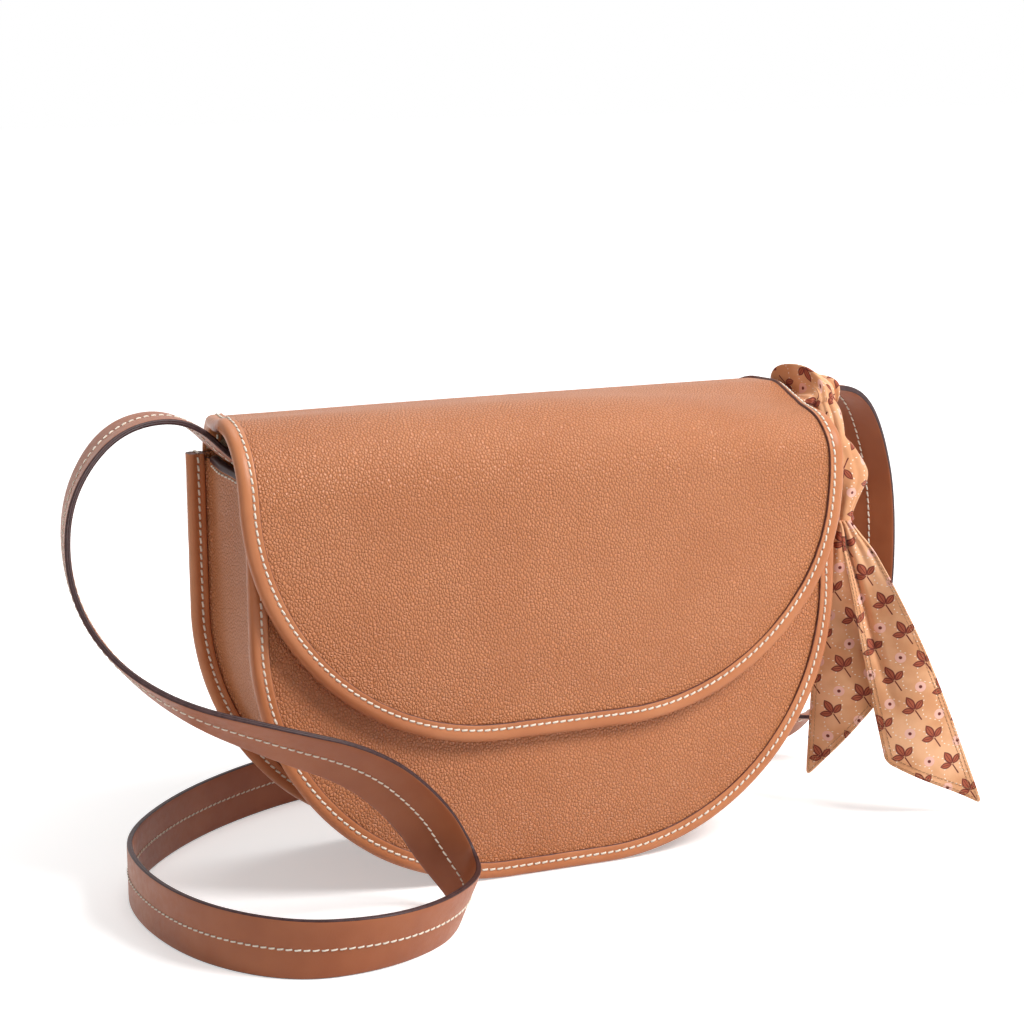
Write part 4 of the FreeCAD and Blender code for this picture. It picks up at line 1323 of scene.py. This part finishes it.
def build_strap_ply(node, side):
    """Leather ply inside the top of the gusset, behind the strap's end."""
    low, high = node_box(node)
    x = high.x if side < 0 else low.x

    def point(up, across):
        y = -side * mix(low.y, high.y, across)
        return Vector((x, y, mix(low.z, mouth(y) - GUSSET_DROP, up)))

    ply = grid(node + "_leather", net(14, 24, point), [SMOOTH, PAINT])
    settle(thicken(ply, (high.x - low.x) * 0.95, 1), "bag", "smooth_leather", node)


def dress_nodes():
    """Finishes of the rigid nodes, which keep their own shape."""
    finishes = (
        (BOARD, ("front_board", "back_board", "base_board")),
        (BRASS, ("zip_teeth_upper", "zip_teeth_lower", "zip_stops", "zip_slider", "zip_pull")),
        (STEEL, ("snap_socket", "socket_washer", "snap_stud", "stud_washer")),
        (FERRITE, ("snap_magnet",)),
    )
    for material, nodes in finishes:
        for node in nodes:
            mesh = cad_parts[node].data
            mesh.materials.clear()
            mesh.materials.append(material)


# Stage


def floor_material():
    """Pale floor that the camera sees a little brighter, so that it meets the white background."""
    shade = Shade("pale_floor")
    grain = shade.noise(shade.place(), 0.4, 2.0)
    tone = shade.blend(shade.span(grain, 0.3, 0.7), (0.86, 0.85, 0.84, 1), (0.88, 0.87, 0.86, 1))
    away = shade.add("VectorMath", {"operation": "LENGTH"}, Vector=shade.place()).outputs["Value"]
    near = shade.span(away, 0.08, 0.38, 0.38, 0.74)
    level = shade.math("ADD", near, shade.span(away, 0.38, 2.2, 0.0, 0.26))
    return shade.finish(Base_Color=tone, Roughness=0.9, Specular_IOR_Level=0.0, Emission_Color=(1, 1, 1, 1),
                        Emission_Strength=shade.times(shade.seen(), level))


def area_lamp(name, place, size, power):
    """Round lamp that looks at the middle of the bag."""
    light = bpy.data.lights.new(name, "AREA")
    light.shape = "DISK"
    light.size = size
    light.energy = power
    lamp = bpy.data.objects.new(name, light)
    lamp.location = place
    lamp.rotation_euler = (LAMP_AIM - Vector(place)).to_track_quat("-Z", "Y").to_euler()
    bpy.context.scene.collection.objects.link(lamp)


def build_world():
    """Even light from all round, seen as white."""
    shade = Shade("studio", world=True)
    strength = shade.span(shade.seen(), 0.0, 1.0, WORLD_LIGHT, 1.0)
    bpy.context.scene.world = shade.finish(Color=(1, 1, 1, 1), Strength=strength)


def build_stage():
    rows = [[Vector((x, y, 0)) for x in (-FLOOR_REACH, FLOOR_REACH)] for y in (-FLOOR_REACH, FLOOR_REACH)]
    grid("floor", rows, [floor_material()])
    area_lamp("key", (0.70, -0.84, 1.08), 0.6, 22.0)
    area_lamp("fill", (-1.40, -0.15, 0.55), 1.0, 2.5)
    area_lamp("top", (0.25, 0.45, 1.70), 1.0, 9.0)
    build_world()


def build_camera():
    """The photograph's view."""
    eye = Vector((-0.4427, -0.9887, 0.3457))
    aim = Vector((-0.0018, 0.0, 0.1463))
    roll = -0.011
    data = bpy.data.cameras.new("view")
    data.sensor_width = 36.0
    data.lens = 91.4
    data.clip_start = 0.01
    camera = bpy.data.objects.new("view", data)
    camera.location = eye
    camera.rotation_mode = "QUATERNION"
    camera.rotation_quaternion = (aim - eye).to_track_quat("-Z", "Y") @ Quaternion((0, 0, 1), roll)
    bpy.context.scene.collection.objects.link(camera)
    bpy.context.scene.camera = camera


build_shell()
build_shell_stitches()
build_flap()
build_strap()
build_scarf()
build_inside()
dress_nodes()
build_stage()
build_camera()
bpy.context.scene.view_settings.view_transform = "Standard"
